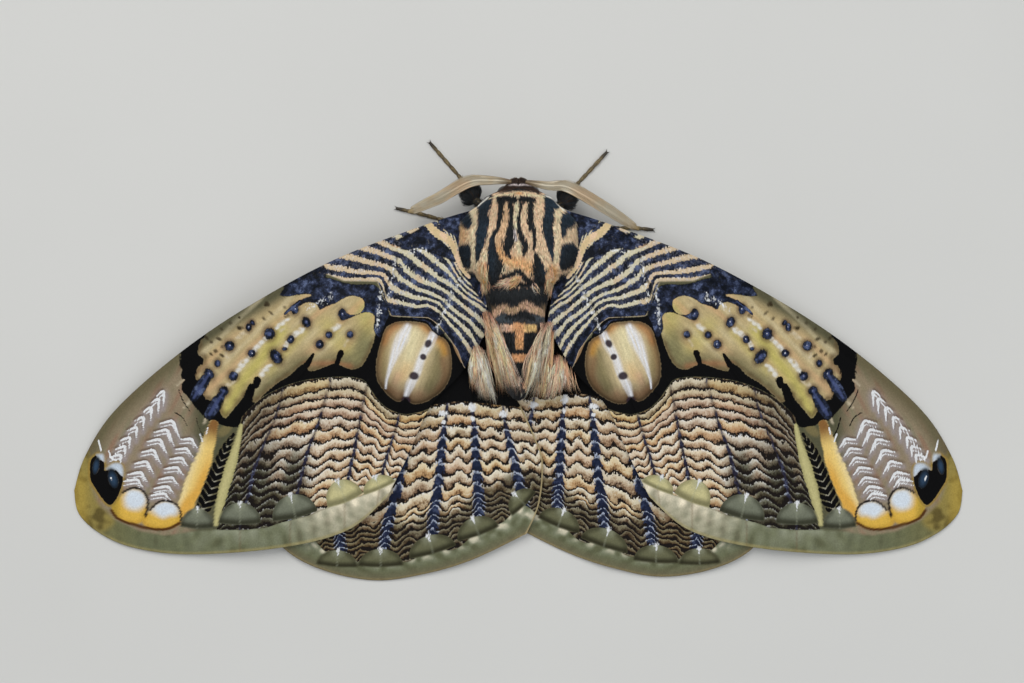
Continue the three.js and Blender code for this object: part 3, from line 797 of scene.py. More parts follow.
def forewingMarks(x, y):
    p = paints
    sheet = MarkSheet(x, y, p["costa"])
    tint, shade, cover, erase, pour = sheet.tint, sheet.shade, sheet.cover, sheet.erase, sheet.pour
    band, strokes, strokeField = sheet.band, sheet.strokes, sheet.strokeField
    spotField, patchField = sheet.spotField, sheet.patchField
    drift = softNoise(x, y, 7, 3)
    fine = softNoise(x, y, 1.6, 4)
    costaGap = alongLine(x, y, smoothLine(foreEdges["costa"]), 8)[0]

    # apex field: brown with reddish streaks, olive along the costa
    apex = ease(50, 53, x)
    streaky = softNoise(x * 0.92 + y * 0.4, y * 0.16, 1.5, 6)
    tint(apex, p["apexBrown"])
    tint(apex * ease(0.1, 1.1, streaky) * 0.55, p["apexRed"])
    tint(apex * ease(0, 1.2, -streaky) * 0.6, p["greyOlive"])
    tint(apex * (1 - ease(0.3, 3, costaGap)) * 0.85, light(96, 90, 64))
    tint((1 - apex) * (1 - ease(0.2, 1.4, costaGap)) * 0.7, light(90, 86, 64))

    # long tan pod with its lengthwise streaks
    pod = insideOutline(x, y, podOutline)
    inPod = fill(pod, 0.4)
    across = x * 0.69 + y * 0.72
    tint(inPod * ease(0.3, 2.6, costaGap), p["podTan"])
    grainwise = np.sin(across * 1.9 + 0.5) + 0.6 * softNoise(across * 1.0, (x - y) * 0.12, 1.1, 15)
    tint(inPod * ease(1.2, 4, costaGap) * ease(-0.2, 1.5, grainwise) * 0.75, p["podPeach"])
    tint(inPod * ease(0.3, 1.6, -grainwise) * 0.5, p["podPale"])
    for points, half, share in (
            ([(24.2, 8), (24, 3.5), (25.2, 0.5)], 1.2, 0.6), ([(34, 4.5), (36.5, 1.5), (39, -2)], 0.8, 0.5),
            ([(37.4, 4.6), (40.2, 0.8), (43.6, -3.6), (46.2, -8.4)], 1, 0.95),
            ([(30, 5.5), (27.2, 1.5)], 1.3, 0.5)):
        tint(inPod * strokeField(points, half) * share, p["podYellow"])
    tint(inPod * strokeField([(24.6, 4), (25.2, 1.4), (26.4, 0.2)], 1.3) * 0.7, p["podOlive"])
    tint(inPod * (1 - ease(0.4, 2.8, pod)) * ease(4.5, 2.5, y) * ease(46, 40, x) * 0.9, p["podOlive"])
    tint(inPod * (1 - ease(0, 1.1, pod + 0.2 * fine)) * ease(5, 2, y) * 0.8, light(96, 76, 50))
    shade(inPod, 1 + 0.07 * softNoise(across * 2.2, (x - y) * 0.25, 1, 16))
    tint(inPod * strokeField([(33.4, -0.6), (30.5, -0.4), (26.6, -0.8)], 0.45) * 0.5, light(176, 120, 84))
    shade(inPod, 1 + 0.05 * fine)

    # black surround, cut by the pod and the ocellus
    eye = insideOutline(x, y, eyeOutline)
    dark = np.minimum(insideOutline(x, y, darkOutline), np.minimum(-pod, -eye))
    sheet.ink["black"] = fill(dark, 0.7)

    # ocellus: golden middle, olive inner side, brown rim, two white bars
    inEye = fill(eye, 0.4)
    tint(inEye, p["eyeTan"])
    for points, halves, share, colour in (
            ([(21.2, 2.8), (21.2, -0.5), (20.4, -3.4)], [0.9, 1, 0.9], 0.75, light(150, 134, 88)),
            ([(12.6, 1.4), (12.6, -0.8), (14, -4.2)], [1, 1.6, 1.2], 0.85, p["eyeOlive"]),
            ([(11.9, 0.2), (11.7, -2.4), (12.6, -4.4)], [0.5, 0.5, 0.5], 0.5, light(150, 104, 74)),
            ([(15.6, -5.4), (18, -5.6), (20.4, -4.6)], [0.8, 0.9, 0.7], 0.8, light(178, 140, 106)),
            ([(19.4, 5.4), (20.6, 4.2), (21.2, 3)], [0.7, 0.7, 0.6], 0.8, light(184, 130, 78)),
            ([(15.4, 5.5), (14.4, 5), (13.6, 4.4)], [0.5, 0.6, 0.4], 0.9, light(222, 160, 84)),
            ([(12.9, 3.4), (12, 2.6), (11.6, 1.2)], [0.6, 0.7, 0.5], 0.85, light(204, 152, 66)),
            ([(18.2, 3.6), (19.4, 0.5), (20.4, -3)], [1.1, 1, 0.5], 0.6, p["eyeCream"]),
            ([(16.4, 5), (16.9, 1.8), (17.6, -0.6)], [1, 1.2, 0.8], 0.9, light(228, 216, 172)),
            ([(17.6, -1), (18.3, -2.6)], [0.8, 0.8], 0.6, light(222, 186, 132)),
            ([(19, -2.4), (19.4, -3.4)], [0.6, 0.6], 0.5, light(206, 164, 134)),
            ([(13.6, 4), (15, 0.8), (17.2, -4.6)], [0.9, 0.9, 0.9], 0.6, p["eyeCream"])):
        tint(inEye * strokeField(points, halves) * share, colour)
    shade(inEye, 1 + 0.07 * softNoise(x * 1.6 + y * 0.7, y * 0.3, 1, 17))
    tint(inEye * (1 - ease(0.1, 1.7, eye)) * 0.65, p["eyeRim"])
    shade(inEye * (1 - ease(0, 3.8, eye)) * ease(3, -5, y), 0.36)
    shade(inEye * (1 - ease(0, 0.8, eye)), 0.35)
    silk = 0.75 + 0.35 * softNoise(x * 3.2 + y, y * 0.5, 1.2, 18)
    for points, halves in (
            ([(17.5, 5.2), (18.2, 3.7), (19, 2.1), (19.8, 0.1), (20.4, -1.8), (20.8, -3.1), (20.9, -4.4)],
                [0.6, 0.95, 0.85, 0.62, 0.36, 0.22, 0.12]),
            ([(13.4, 4.1), (14.2, 2.4), (14.9, 1.2), (15.5, -0.2), (16.1, -2.1), (17.1, -3.9), (17.7, -5.5)],
                [0.6, 0.7, 0.62, 0.6, 0.6, 0.66, 0.36])):
        field = strokeField(points, halves)
        tint(inEye * ease(0.15, 0.9, field) * silk, light(236, 238, 244))
    for centre, radii, turn in (
            ((14.25, 2.6), (0.45, 0.58), 20), ((15, 0.55), (0.4, 0.4), 0), ((16.4, -2.45), (0.62, 0.52), 20),
            ((17.7, -6.3), (0.6, 0.6), 0)):
        blot = spotField(centre, radii, turn)
        tint(ease(0.2, 0.55, blot + 0.12 * fine) * 0.96, light(44, 31, 42))

    # navy patch on the costa and its chain of dots
    pour("navy", patchField(navyOutline, 0.3) * 0.78)
    erase(patchField([(26.3, 9.9), (27.6, 9.3), (27.2, 8.2), (25.8, 7.5), (24.6, 8.2),
        (24.7, 9.5)], 0.3), "navy")
    pour("navy", patchField([(37.4, 11.8), (36.2, 10.2), (33.5, 10.6), (31, 12), (30, 14.2), (31.5, 15.4),
        (34.6, 13.6)], 0.3) * 0.62)
    pour("navy", patchField([(17.6, 7), (14.6, 6.6), (13.2, 5.6), (11.5, 4.4), (12.7, 3.9), (13.8, 4.9),
        (14.7, 6), (16.2, 6.2)], 0.3) * 0.7)
    arc = ease(0.3, 0.7, strokeField(
        [(10.9, 4.5), (10.2, 3.2), (9.5, 1.5), (8.9, -0.2)], [0.2, 0.4, 0.45, 0.2]))
    cover(arc, light(150, 118, 84))
    for centre, radii, turn in inkTables["dots"]:
        halo = ease(0.1, 0.5, spotField(centre, (radii[0] + 0.12, radii[1] + 0.12), turn))
        tint(inPod * halo * 0.6, light(92, 70, 56))
        sheet.spot("navy", centre, radii, turn)
        # painted glint: a small white highlight near the middle of each larger dot
        glint = spotField((centre[0] - 0.05, centre[1] + 0.05), (0.16, 0.22), turn)
        pour("white", glint * 0.62 * (max(radii) > 0.6))
    strokes("navy", inkTables["drops"], 0.97)
    strokes("black", inkTables["notches"])
    dice = np.random.default_rng(76)
    for centre in inkTables["scales"]:
        blot = spotField(centre, (dice.uniform(0.2, 0.5), dice.uniform(0.14, 0.3)), dice.uniform(15, 60))
        tint(ease(0.2, 0.7, blot) * dice.uniform(0.6, 1), light(52, 42, 26))
    frayed = 0.8 + 0.4 * softNoise(x, y, 0.7, 19)
    for points, halves in inkTables["dashes"]:
        tint(ease(0.15, 0.85, strokeField(points, halves) * frayed) * 0.92, light(228, 226, 218))
    for points, halves in inkTables["palePatches"]:
        tint(ease(0.2, 1, strokeField(points, halves) * frayed) * 0.75, light(214, 200, 172))
        erase(ease(0.5, 0.8, strokeField(points, halves)), "black")

    # stripes over the wing base, dark at the shoulder, with two speckled veins across them
    stripeLine, _ = guideSpacing(x, y, [(9 - n, g) for n, g in baseGuides])
    above = insideOutline(x, y, stripeOutline, smooth=False)
    stripeZone = fill(above, 0.3)
    erase(stripeZone, "black")
    tint(stripeZone, p["stripeCream"])
    tint(stripeZone * ease(0.2, 1.2, drift + fine * 0.6) * 0.7, p["stripePeach"])
    tint(stripeZone * ease(18, 23, x) * 0.7, p["stripePeach"])
    tint(stripeZone * ease(7.6, 8.6, stripeLine) * 0.9, p["orange"])
    for points, smooth in (
            ([(20.2, 18.8), (17, 20.2), (14, 21.6), (12.9, 19.5), (11, 18), (9.9, 16.4), (9.8, 15.2),
                (11.5, 16), (13.8, 16.9), (16.2, 17.5), (18.2, 17.3)], True),
            ([(13.4, 22.9), (8.9, 24.6), (2, 24), (2, 8), (5.4, 8.6), (7.4, 11.4), (8.4, 13.4), (9.4, 16.2),
                (10.1, 19.4), (12.4, 20.9)], False),
            ([(17.4, 7.3), (15.6, 7), (14.2, 7.2), (12.9, 6.6), (11.5, 5), (11.9, 4), (13.1, 4.6),
                (14.6, 6.1), (17.2, 6.3)], True)):
        pour("navy", patchField(points, 0.3, smooth) * stripeZone * 0.66)
    vein = strokeField(
        [(8.6, 14), (9.3, 12.5), (10.6, 10.3), (12.2, 7.8), (12.9, 6)], [0.9, 0.75, 0.7, 0.7, 0.9])
    pour("navy", vein * stripeZone * 0.5)
    pour("navy", ease(7.3, 7.6, stripeLine) * stripeZone * 0.8)
    kink = strokeField([(19.2, 16.3), (19.6, 14), (20.9, 11.6), (20.7, 10)], [0.45, 0.4, 0.4, 0.6])
    pour("navy", kink * stripeZone * 0.54)
    bar, place, share = band([(14.6, 22), (12.9, 20.1), (10.9, 18.9), (9.9, 17), (9.2, 14.9),
        (7.8, 13.2)], [0.5, 0.62, 0.66, 0.45, 0.36, 0.25], 4, 1)
    bar = ease(0.4, 0.6, bar + 0.14 * softNoise(x, y, 0.5, 37))
    cover(bar, light(214, 190, 146))
    tint(bar * ease(0, 0.9, drift + fine), light(232, 200, 166))
    stripeZone = stripeZone * (1 - bar)
    cover(ease(0.4, 0.6, spotField((19.4, 18.4), (1.1, 0.55), 20)), light(188, 150, 110))
    # frosted veins: a haze of pale scales with a few bright ones
    dice = np.random.default_rng(77)
    for start, end, wide in (
            ((9.2, 13), (13, 4.6), 0.7), ((19.3, 16), (20.6, 9.6), 0.5), ((21.6, 11.6), (22.4, 5), 0.6),
            ((29.4, 10.2), (33, 8.2), 0.9), ((17, 17.2), (14.6, 17.4), 0.5)):
        haze = 0.44 + 0.12 * softNoise(x, y, 0.8, 34)
        pour("white", haze * strokeField([start, end], [wide, wide]))
        for k in range(14):
            t = dice.random()
            place = [start[n] + (end[n] - start[n]) * t + dice.normal(0, wide * 0.5) for n in (0, 1)]
            sheet.spot("white", place, (dice.uniform(0.15, 0.22), dice.uniform(0.12, 0.17)),
                dice.uniform(0, 180), 0.6)

    # ringed dome
    line, step = guideSpacing(x, y, domeGuides)
    gap, share, cell = veinFields(x, y, domeVeins)
    depth = ease(1.5, 8, line)
    ripple = (0.14 + 0.46 * depth) * (0.72 * np.cos(4 * np.pi * share) + 0.7 * np.exp(-gap / 0.8) - 0.3)
    ripple *= 0.8 + 0.4 * softNoise(x, y, 5, 14)
    ripple += 0.15 * softNoise(x, y, 2.2, 12) + 0.06 * softNoise(x, y, 0.9, 13)
    waveLine = line + ripple / np.clip(step, 0.9, 2)
    toneA, toneB, toneC = cellTones(waveLine, cell, 31)
    dome = insideOutline(x, y, domeOutline)
    outside = insideOutline(x, y, marginInner + [(19, -40), (72, -40), (74, -13)], smooth=False)
    waveZone = fill(dome, 0.35) * fill(-outside, 0.4)
    erase(waveZone, "black")
    towardTip = ease(35, 44, x + 0.25 * (y + 16) + 0.8 * drift)
    low = ease(-11, -17, y + 0.10 * (x - 35) + 0.6 * drift)
    pale = np.tile(p["cream"], (len(x), 1))
    deep = np.tile(p["orange"], (len(x), 1))
    middle = ease(0.25, 0.5, share) * ease(0.75, 0.5, share)
    grey = low * ease(31, 35.5, x) * (1 - 0.75 * middle * ease(-21, -18.5, y))
    gold = ease(-8, -15, y) * ease(34, 28, x)
    rose = ease(1.2, 2.5, line) * ease(6.5, 4, line)
    rim = np.exp(-np.maximum(-outside, 0) / 1.1) * ease(23, 26, x)
    leanBoth(pale, deep, (
        (0.8 * ease(2.6, 0.8, line), (186, 168, 122), (150, 134, 92)),
        (0.5 * rose, (208, 182, 152), (166, 126, 102)),
        (0.5 * ease(0.4, 0.75, toneA), (234, 208, 150), (204, 152, 92)),
        (0.5 * ease(0.55, 0.8, toneB), (230, 222, 204), (184, 166, 144)),
        (0.28 * gold * (0.5 + toneC), (236, 210, 160), (204, 156, 98)),
        (0.85 * towardTip, (120, 112, 92), (70, 60, 48)), (0.94 * grey, (98, 98, 78), (50, 50, 38)),
        (0.5 * rim, (96, 92, 72), (50, 48, 36)),
        (0.45 * ease(0.5, 1, np.exp(-gap / 1.0)), (150, 136, 116), (96, 80, 66))))
    lean(pale, 0.3 * ease(0.2, 1.2, drift), p["peach"])
    darkShare = 0.19 + 0.12 * towardTip + 0.14 * grey + 0.06 * softNoise(x, y, 3, 32)
    navyWidth = (0.16 + 0.14 * ease(2.5, 8, line) + 0.1 * softNoise(x, y, 1.6, 33)) * ease(46, 43, x)
    frost = 0.2 + 0.45 * ease(2, 5, line) * (1 - towardTip) * (1 - 0.8 * grey) * (0.5 + toneC)

    # margin: olive outside the lobes, cream at the hind corner, yellow at the tip
    marginOn = fill(outside, 0.4) * fill(68.9 - x, 0.4)
    cover(marginOn, p["marginOlive"])
    inner = np.exp(-np.maximum(outside - 0.4, 0) / 1.6)
    cloudy = 0.5 + 0.6 * softNoise(x, y * 0.8, 2.6, 8)
    tint(marginOn * (0.12 + 0.88 * inner) * cloudy * ease(56, 47, x), p["marginPale"])
    tint(marginOn * ease(-0.3, -1.1, softNoise(x, y * 0.8, 2.6, 8)) * 0.6, light(84, 84, 62))
    tint(marginOn * ease(38, 27, x) * (0.3 + 0.7 * inner) * (0.75 + 0.3 * fine), p["marginCream"])
    tint(marginOn * np.exp(-(gap / 0.13) ** 2) * 0.45, light(112, 88, 62))
    tint(marginOn * ease(57, 66, x) * 0.6, light(118, 112, 68))
    outerGap = alongLine(x, y, smoothLine(foreEdges["outer"]), 6)[0]
    tint(marginOn * (1 - ease(0.1, 0.5, outerGap)) * 0.5, light(168, 154, 100))
    shade(marginOn, 1 + 0.08 * fine + 0.07 * softNoise(x, y * 0.2, 1.2, 9))
    tip = insideOutline(x, y, [(68.4, -13.2), (67.2, -16), (67.2, -19.6), (66, -22.6), (63.6, -25.2),
        (65.6, -27), (68.6, -25.6), (72, -20), (72, -15)])
    tipOn = ease(-0.5, 0.7, tip)
    tint(tipOn, p["tipYellow"])
    tint(tipOn * ease(-0.4, 0.8, drift + fine) * 0.85, light(88, 76, 40))
    tint(tipOn * ease(-16, -20, y) * ease(67, 69, x) * 0.6, light(182, 156, 70))

    # yellow band, the black feathered stripe beside it, then the pale streak
    bandOn, place, along = band(
        [(48, -10), (48.7, -12.3), (49.6, -15.4), (51.1, -19.3), (52.4, -22.8), (53.5, -25.4)],
        [0.7, 1.1, 1.4, 1.45, 1.25, 0.6])
    hatchOn, hatchPlace, hatchAlong = band(
        [(44.9, -11.6), (46.15, -14), (47.3, -17.1), (48.4, -20.1), (49.6, -23.1), (50.1, -24.6)],
        [0.3, 0.9, 1.2, 1.4, 1.4, 1])
    hatchOn *= 1 - bandOn
    cover(hatchOn, light(96, 90, 64))
    feather = np.cos(2 * np.pi * (hatchAlong * 12 + 0.9 * np.abs(hatchPlace)))
    pour("black", hatchOn * np.clip(0.86 - 0.5 * ease(0.2, 0.9, feather), 0, 1))
    tint(hatchOn * ease(0.3, 0.9, feather) * np.exp(-(hatchPlace / 0.3) ** 2), light(168, 164, 148))
    bandOn = ease(0.3, 0.7, bandOn + 0.2 * fine)
    cover(bandOn, p["bandYellow"])
    tint(bandOn * ease(0.1, 0.9, place) * 0.8, p["bandPale"])
    low = ease(0.3, -0.7, place - 1.2 * ease(0.6, 0.95, along)) * ease(0.15, 0.55, along)
    tint(bandOn * low * 0.8, p["bandGold"])
    tint(bandOn * ease(0.26, 0.02, along), p["bandBrown"])
    streakOn, place, along = band([(43.7, -10.2), (44.4, -13.3), (45.4, -16.8), (46.4, -20.1), (47.2, -23.3),
        (47.7, -25.8)], [0.3, 0.55, 0.85, 0.85, 0.7, 0.35], 3, 0.35)
    streakOn = ease(0.3, 0.7, streakOn + 0.15 * fine)
    cover(streakOn, p["streak"])
    tint(streakOn * ease(0.2, 1, np.abs(place)) * 0.5, light(140, 134, 88))
    waveZone = waveZone * (1 - streakOn) * (1 - hatchOn) * (1 - bandOn)
    tint(ease(0.35, 0.8, spotField((46.3, -11), (1.5, 0.8), -40)) * (1 - streakOn), light(122, 112, 76))

    # chevron columns on the apex field
    chevrons(sheet, [(55.9, -4.9), (56.7, -6.1), (57.9, -7.5), (59.1, -9), (60.2, -10.6), (61.3, -12.2),
        (62, -13.6), (62.7, -14.9)], ((1.1, -0.7), (1.7, -0.45)), ((0.1, -2.4), (0, -1.4)), 0.19)
    chevrons(sheet, [(54.5, -9.6), (55.4, -11), (56.5, -12.5), (57.5, -14.2), (58.6, -16), (59.5, -17.7),
        (60.1, -18.8)], ((2, -0.35), (2.1, -0.3)), ((-1.2, -2.8), (-1, -1.3)), 0.2)
    chevrons(sheet, [(51.6, -12.4), (52.3, -13.9), (53.1, -15.4), (53.8, -16.9), (54.6, -18.5),
        (55.3, -19.9), (55.8, -21)], ((1.7, -0.1), (2.3, -0.35)), ((-1, -1.4), (-1, -1)), 0.19)
    strokes("white", (
        ([(66.2, -12.6), (65.8, -14.2)], 0.14), ([(64.6, -14.2), (64.2, -15.4)], 0.14),
        ([(63.4, -15.8), (64.4, -15.2)], 0.14), ([(49, -10.6), (49.2, -11.6)], 0.14),
        ([(50.2, -11.6), (49.8, -12.8)], 0.14)), 0.9)
    strokes("black", (
        ([(53.6, -4.6), (52.9, -6.3), (51.8, -8)], 0.13), ([(50.8, -9), (50.3, -10.8), (49.6, -12)], 0.13),
        ([(54.2, -8.2), (53, -8.9), (52.2, -10.4)], 0.13)), 0.75)

    # two white and yellow lobes at the apex on one yellow foot, and the black double spot with white caps
    for number, outline in enumerate(tipLobes):
        depth = insideOutline(x, y, outline)
        inside = fill(depth, 0.3)
        cover(inside, p["lobeYellow"])
        (cx, cy), (rx, ry) = tipWhites[number]
        glow = np.hypot((x - cx) / rx, (y - cy) / ry) + 0.08 * fine
        tint(inside * ease(1.5, 0.55, glow), p["lobeWhite"])
        tint(inside * (1 - ease(0, 1, depth)) * ease(cy, cy - 2.0, y) * 0.5, light(176, 130, 40))
        tint(inside * ease(62.2, 63.6, x) * 0.6, light(150, 130, 48))
    for points, half in tipLines:
        tint(ease(0.25, 0.6, strokeField(points, half)), light(34, 28, 26))
    tint(ease(0.15, 0.7, strokeField([(64.2, -23.6), (63.4, -24.7), (62.2, -25.4), (60.8, -25.8),
        (58.9, -26.35), (56.5, -26.65), (54.9, -26.4), (53.4, -25.6)], 0.2)), light(84, 52, 22))
    double = insideOutline(x, y, doubleSpot)
    tint(ease(-0.5, -0.1, double) * ease(0.2, -0.1, double), light(152, 126, 60))
    pour("black", ease(-0.2, 0.2, double))
    for points in (
            [(64.96, -17.1), (63.98, -16.3), (62.8, -16.3), (62.35, -17.3), (62.5, -18.3), (63.4, -17.35),
                (64.4, -17.25)],
            [(66.5, -14.85), (65.5, -14.8), (65.35, -15.9), (65.9, -15.65), (66.4, -15.4)]):
        cap = patchField(points, 0.25)
        erase(cap, "black")
        tint(cap, light(200, 212, 224))
    # painted sheen and glint: deep blue patches inside the black double spot and a thin white highlight on
    # its right part
    for centre, radii, turn in (((63.9, -18.7), (0.6, 1.15), -15), ((66.6, -16.7), (0.42, 1), 10)):
        glow = spotField(centre, radii, turn)
        erase(ease(0.1, 0.5, glow), "black")
        tint(ease(0.05, 0.3, glow), light(18, 24, 30))
        tint(ease(0.2, 1, glow), light(46, 68, 92))
    sheet.spot("white", (64.2, -18.6), (0.15, 0.5), -20, 0.85)

    # half-moons along the margin
    for base, radii, turn, colour, foot in (
            ((50.7, -26.2), (2.6, 2.9), 2, "lobeGrey", "lobeFoot"),
            ((43.9, -25.6), (3.3, 3.2), 0, "lobeGrey", "lobeFoot"),
            ((35.2, -24.5), (3.6, 3.4), -13, "lobeGrey", "lobeFoot"),
            ((27.3, -22), (2.95, 3.3), -22, "lobeCream", "podOlive"),
            ((21.9, -20.1), (2.6, 1.95), -23, "lobeCream", "podOlive")):
        waveZone = waveZone * (1 - halfMoon(sheet, base, radii, turn, p[colour], p[foot]))

    relief = reliefAlong(x, y, domeVeins + foreVeins)
    bulge = ease(-0.2, 3.2, eye) * 0.6 + 0.5 * ease(-0.2, 2.6, pod) * ease(20, 24, x) * ease(1, 3, costaGap)
    return bulge, wingFields(sheet, pale, deep, (waveLine, gap, darkShare),
                             (stripeLine, stripeZone, navyWidth), waveZone, frost, relief)


# guide lines of the rings on the hindwing
hindGuides = [
    (0, [(-4, -7.6), (0, -7.4), (4.5, -6.9), (9.7, -6.5), (14.7, -7.3), (20, -8.5), (30, -12), (41, -17)]),
    (1, [(-4, -9.6), (0, -9.3), (4.5, -8.9), (9.7, -8.2), (14.7, -8.8), (20, -10.3), (30, -14), (41, -19)]),
    (5, [(-4, -15.9), (0, -15.6), (4.5, -15.4), (9.7, -15.4), (14.7, -16), (16.3, -16.4), (20, -17.6),
        (28, -21), (41, -26)]),
    (8, [(-4, -20.4), (0, -20.6), (4.5, -20.8), (9.7, -21.3), (14.7, -22.6), (16.3, -23.3), (20, -24.6),
        (28, -27), (41, -30)]),
    (12, [(-4, -23.6), (0, -23.8), (4.5, -24.2), (9.7, -25.3), (14.7, -27), (20, -28.6), (28, -30.2),
        (41, -33)]),
]
hindVeins = [
    [(29.5, -12), (28.9, -24), (28.2, -28), (27.8, -31)],
    [(17.2, -8), (18.1, -16), (18.7, -18.1), (19, -20.4), (19.6, -21.8), (20.1, -23.7), (20.5, -25.3),
        (21.4, -31)],
    [(11.2, -6), (11.4, -8.6), (11.7, -10.3), (12.2, -14.9), (12.6, -19.5), (13, -22), (13.4, -24.4),
        (13.6, -30)],
    [(7.4, -5), (7.2, -8.8), (7, -10), (6.4, -19.6), (6.2, -23.6), (6.4, -28)],
    [(2.6, -5), (2.3, -8.6), (1.7, -11.6), (0, -18.6), (-0.7, -22), (-1, -26)],
]


def hindwingMarks(x, y, ownX, ownY):
    p = paints
    sheet = MarkSheet(x, y, p["darkOlive"])
    tint = sheet.tint
    drift = softNoise(x, y, 6, 23)
    fine = softNoise(x, y, 1.5, 24)
    line, step = guideSpacing(x, y, hindGuides)
    gap, share, cell = veinFields(x, y, hindVeins)
    depth = ease(0.8, 5, line)
    ripple = (0.2 + 0.55 * depth) * (0.62 * np.cos(4 * np.pi * share) + 0.6 * np.exp(-gap / 0.6) - 0.2)
    ripple *= 0.85 + 0.5 * softNoise(x, y, 3.6, 26)
    ripple += 0.22 * softNoise(x, y, 2, 22) + 0.1 * softNoise(x, y, 0.9, 25)
    waveLine = line + ripple / np.clip(step, 0.9, 2.2)
    toneA, toneB, toneC = cellTones(waveLine, cell, 35)
    outerGap = alongLine(ownX, ownY, smoothLine(hindEdges["outer"]), 12)[0]
    inset = outerGap - (3.0 + 0.5 * np.cos(share * 2 * np.pi) + 0.6 * ease(24, 34, x)) - 1.0 * ease(10, 0, x)
    waveZone = ease(-0.25, 0.25, inset) * ease(-0.3, 0.2, line)
    sheet.ink["black"] = fill(-line, 0.5) * ease(-0.25, 0.25, inset)
    pale = np.tile(light(236, 226, 202), (len(x), 1))
    deep = np.tile(light(193, 167, 136), (len(x), 1))
    olive = ease(0.2, 0.75, ease(8.4, 3, inset) + 0.2 * drift)
    side = ease(16, 23, x)
    leanBoth(pale, deep, (
        (0.5 * ease(1.4, 0.2, line), (206, 190, 142), (172, 150, 100)),
        (0.5 * ease(0.4, 0.8, toneA), (230, 206, 150), (204, 154, 84)),
        (0.4 * ease(0.5, 0.85, toneB), (228, 198, 168), (190, 142, 108)),
        (0.5 * ease(0.5, 0.85, toneC), (234, 226, 202), (184, 166, 130)),
        (0.4 * ease(0.3, 0, toneA), (200, 178, 144), (146, 114, 86)),
        (0.9 * olive, (116, 108, 80), (60, 52, 38)), (0.5 * side, (150, 140, 104), (112, 92, 62)),
        (0.4 * ease(0.5, 1, np.exp(-gap / 0.9)), (176, 164, 134), (128, 106, 76))))
    darkShare = 0.2 + 0.16 * olive + 0.05 * side + 0.09 * softNoise(x, y, 2.4, 36)
    frost = 0.62 * (1 - 0.85 * olive) * (1 - 0.5 * side) * (0.4 + 0.9 * toneC)
    navyWidth = 0.26 + 0.5 * ease(0.6, 4.5, line) + 0.14 * ease(5, 8, line)

    # olive border with half-moons and a thin gold hem
    border = 1 - ease(-0.25, 0.25, inset)
    tint(border, p["marginOlive"])
    cloudy = softNoise(x, y, 2.6, 28)
    tint(border * ease(0.9, 3.2, outerGap) * (0.5 + 0.6 * cloudy), p["marginPale"])
    tint(border * ease(1.8, 3.2, outerGap) * ease(0, 0.9, cloudy + 0.4 * fine) * 0.75, p["marginCream"])
    tint(border * ease(-0.1, -1, cloudy) * 0.5, light(88, 88, 64))
    tint(border * ease(1.8, 0.3, outerGap) * 0.5, light(116, 106, 84))
    tint(border * (1 - ease(0.15, 0.5, outerGap)) * 0.5, light(150, 132, 92))
    sheet.shade(border, 1 + 0.06 * fine)
    lobe, foot = light(107, 107, 80), light(44, 42, 28)
    for base, radii, turn in (
            ((28.6, -32.3), (3.2, 2.4), 4), ((21.7, -32.3), (3.5, 2.6), -1),
            ((13.5, -30.2), (3.8, 2.7), -16), ((6.3, -27.3), (3.4, 2.7), -20),
            ((-0.9, -22.6), (2.6, 2.3), -44)):
        waveZone = waveZone * (1 - halfMoon(sheet, base, radii, turn, lobe, foot, 0.26))
    for centre, radii in (
            ((11.9, -8.3), (1, 0.6)), ((7.3, -7.4), (0.8, 0.9)), ((2.4, -8.4), (0.9, 0.7)),
            ((7.2, -9.2), (0.45, 0.5)), ((11.8, -9.7), (0.5, 0.4))):
        sheet.spot("white", centre, radii, 0, 0.72)
    relief = reliefAlong(x, y, hindVeins)
    hemGap = alongLine(ownX, ownY, smoothLine(hindEdges["hind"][2:] + [(-0.4, -27)]), 3)[0]
    hem = (1 - ease(0.1, 0.35, hemGap)) * ease(-6, -8, y)
    sheet.cover(hem, light(176, 158, 118))
    waveZone = waveZone * (1 - hem)
    none = np.zeros(len(x))
    return none, wingFields(sheet, pale, deep, (waveLine, gap, darkShare), (none, none, navyWidth),
                            waveZone, frost, relief)


# shader groups of the wings
inkPlan = {"navyDark": light(14, 18, 27), "navy": light(46, 54, 78), "navySpeck": light(92, 104, 136),
    "column": light(32, 40, 66), "navyHighlight": light(76, 88, 132), "white": light(236, 238, 240),
    "line": light(28, 23, 21), "black": light(6, 6, 7), "umber": (0.24, 0.19, 0.17),
    "frost": light(186, 196, 216), "gap": light(112, 114, 128), "violet": light(46, 40, 56)}


def makeInkGroup():
    # turns a soft field into a mask with a ragged edge of scales
    wires, given, out = startGroup("scaleEdge", "Field, Ragged, Tooth, Softness", "Mask")
    lifted = wires.maths("MULTIPLY_ADD", wires.maths("SUBTRACT", given["Tooth"], 0.5), given["Ragged"],
                         given["Field"])
    low = wires.maths("SUBTRACT", 0.5, given["Softness"])
    high = wires.maths("ADD", 0.5, given["Softness"])
    wires.feed(out["Mask"], wires.soften(low, high, lifted))
    return wires.tree


def makeGrainGroup():
    # rows of tiny overlapping scales: a brightness value, a height, an edge raggedness and soft drifts
    wires, given, out = startGroup("scaleRows", "Place", "Grain, Height, Tooth, Puff, Mottle")
    cells = wires.cells(given["Place"], 0.16)
    grain = wires.maths("ADD", wires.maths("MULTIPLY", cells.outputs["Color"], 0.5),
                        wires.maths("MULTIPLY", wires.noise(given["Place"], 0.14, 1), 0.5))
    wires.feed(out["Grain"], grain)
    wires.feed(out["Height"], wires.maths("SUBTRACT", 1, cells.outputs["Distance"]))
    wires.feed(out["Tooth"], wires.noise(given["Place"], 0.25, 2, (1, 0.5, 1)))
    wires.feed(out["Puff"], wires.noise(given["Place"], 0.9, 1))
    wires.feed(out["Mottle"], wires.noise(given["Place"], 1.6, 2))
    return wires.tree


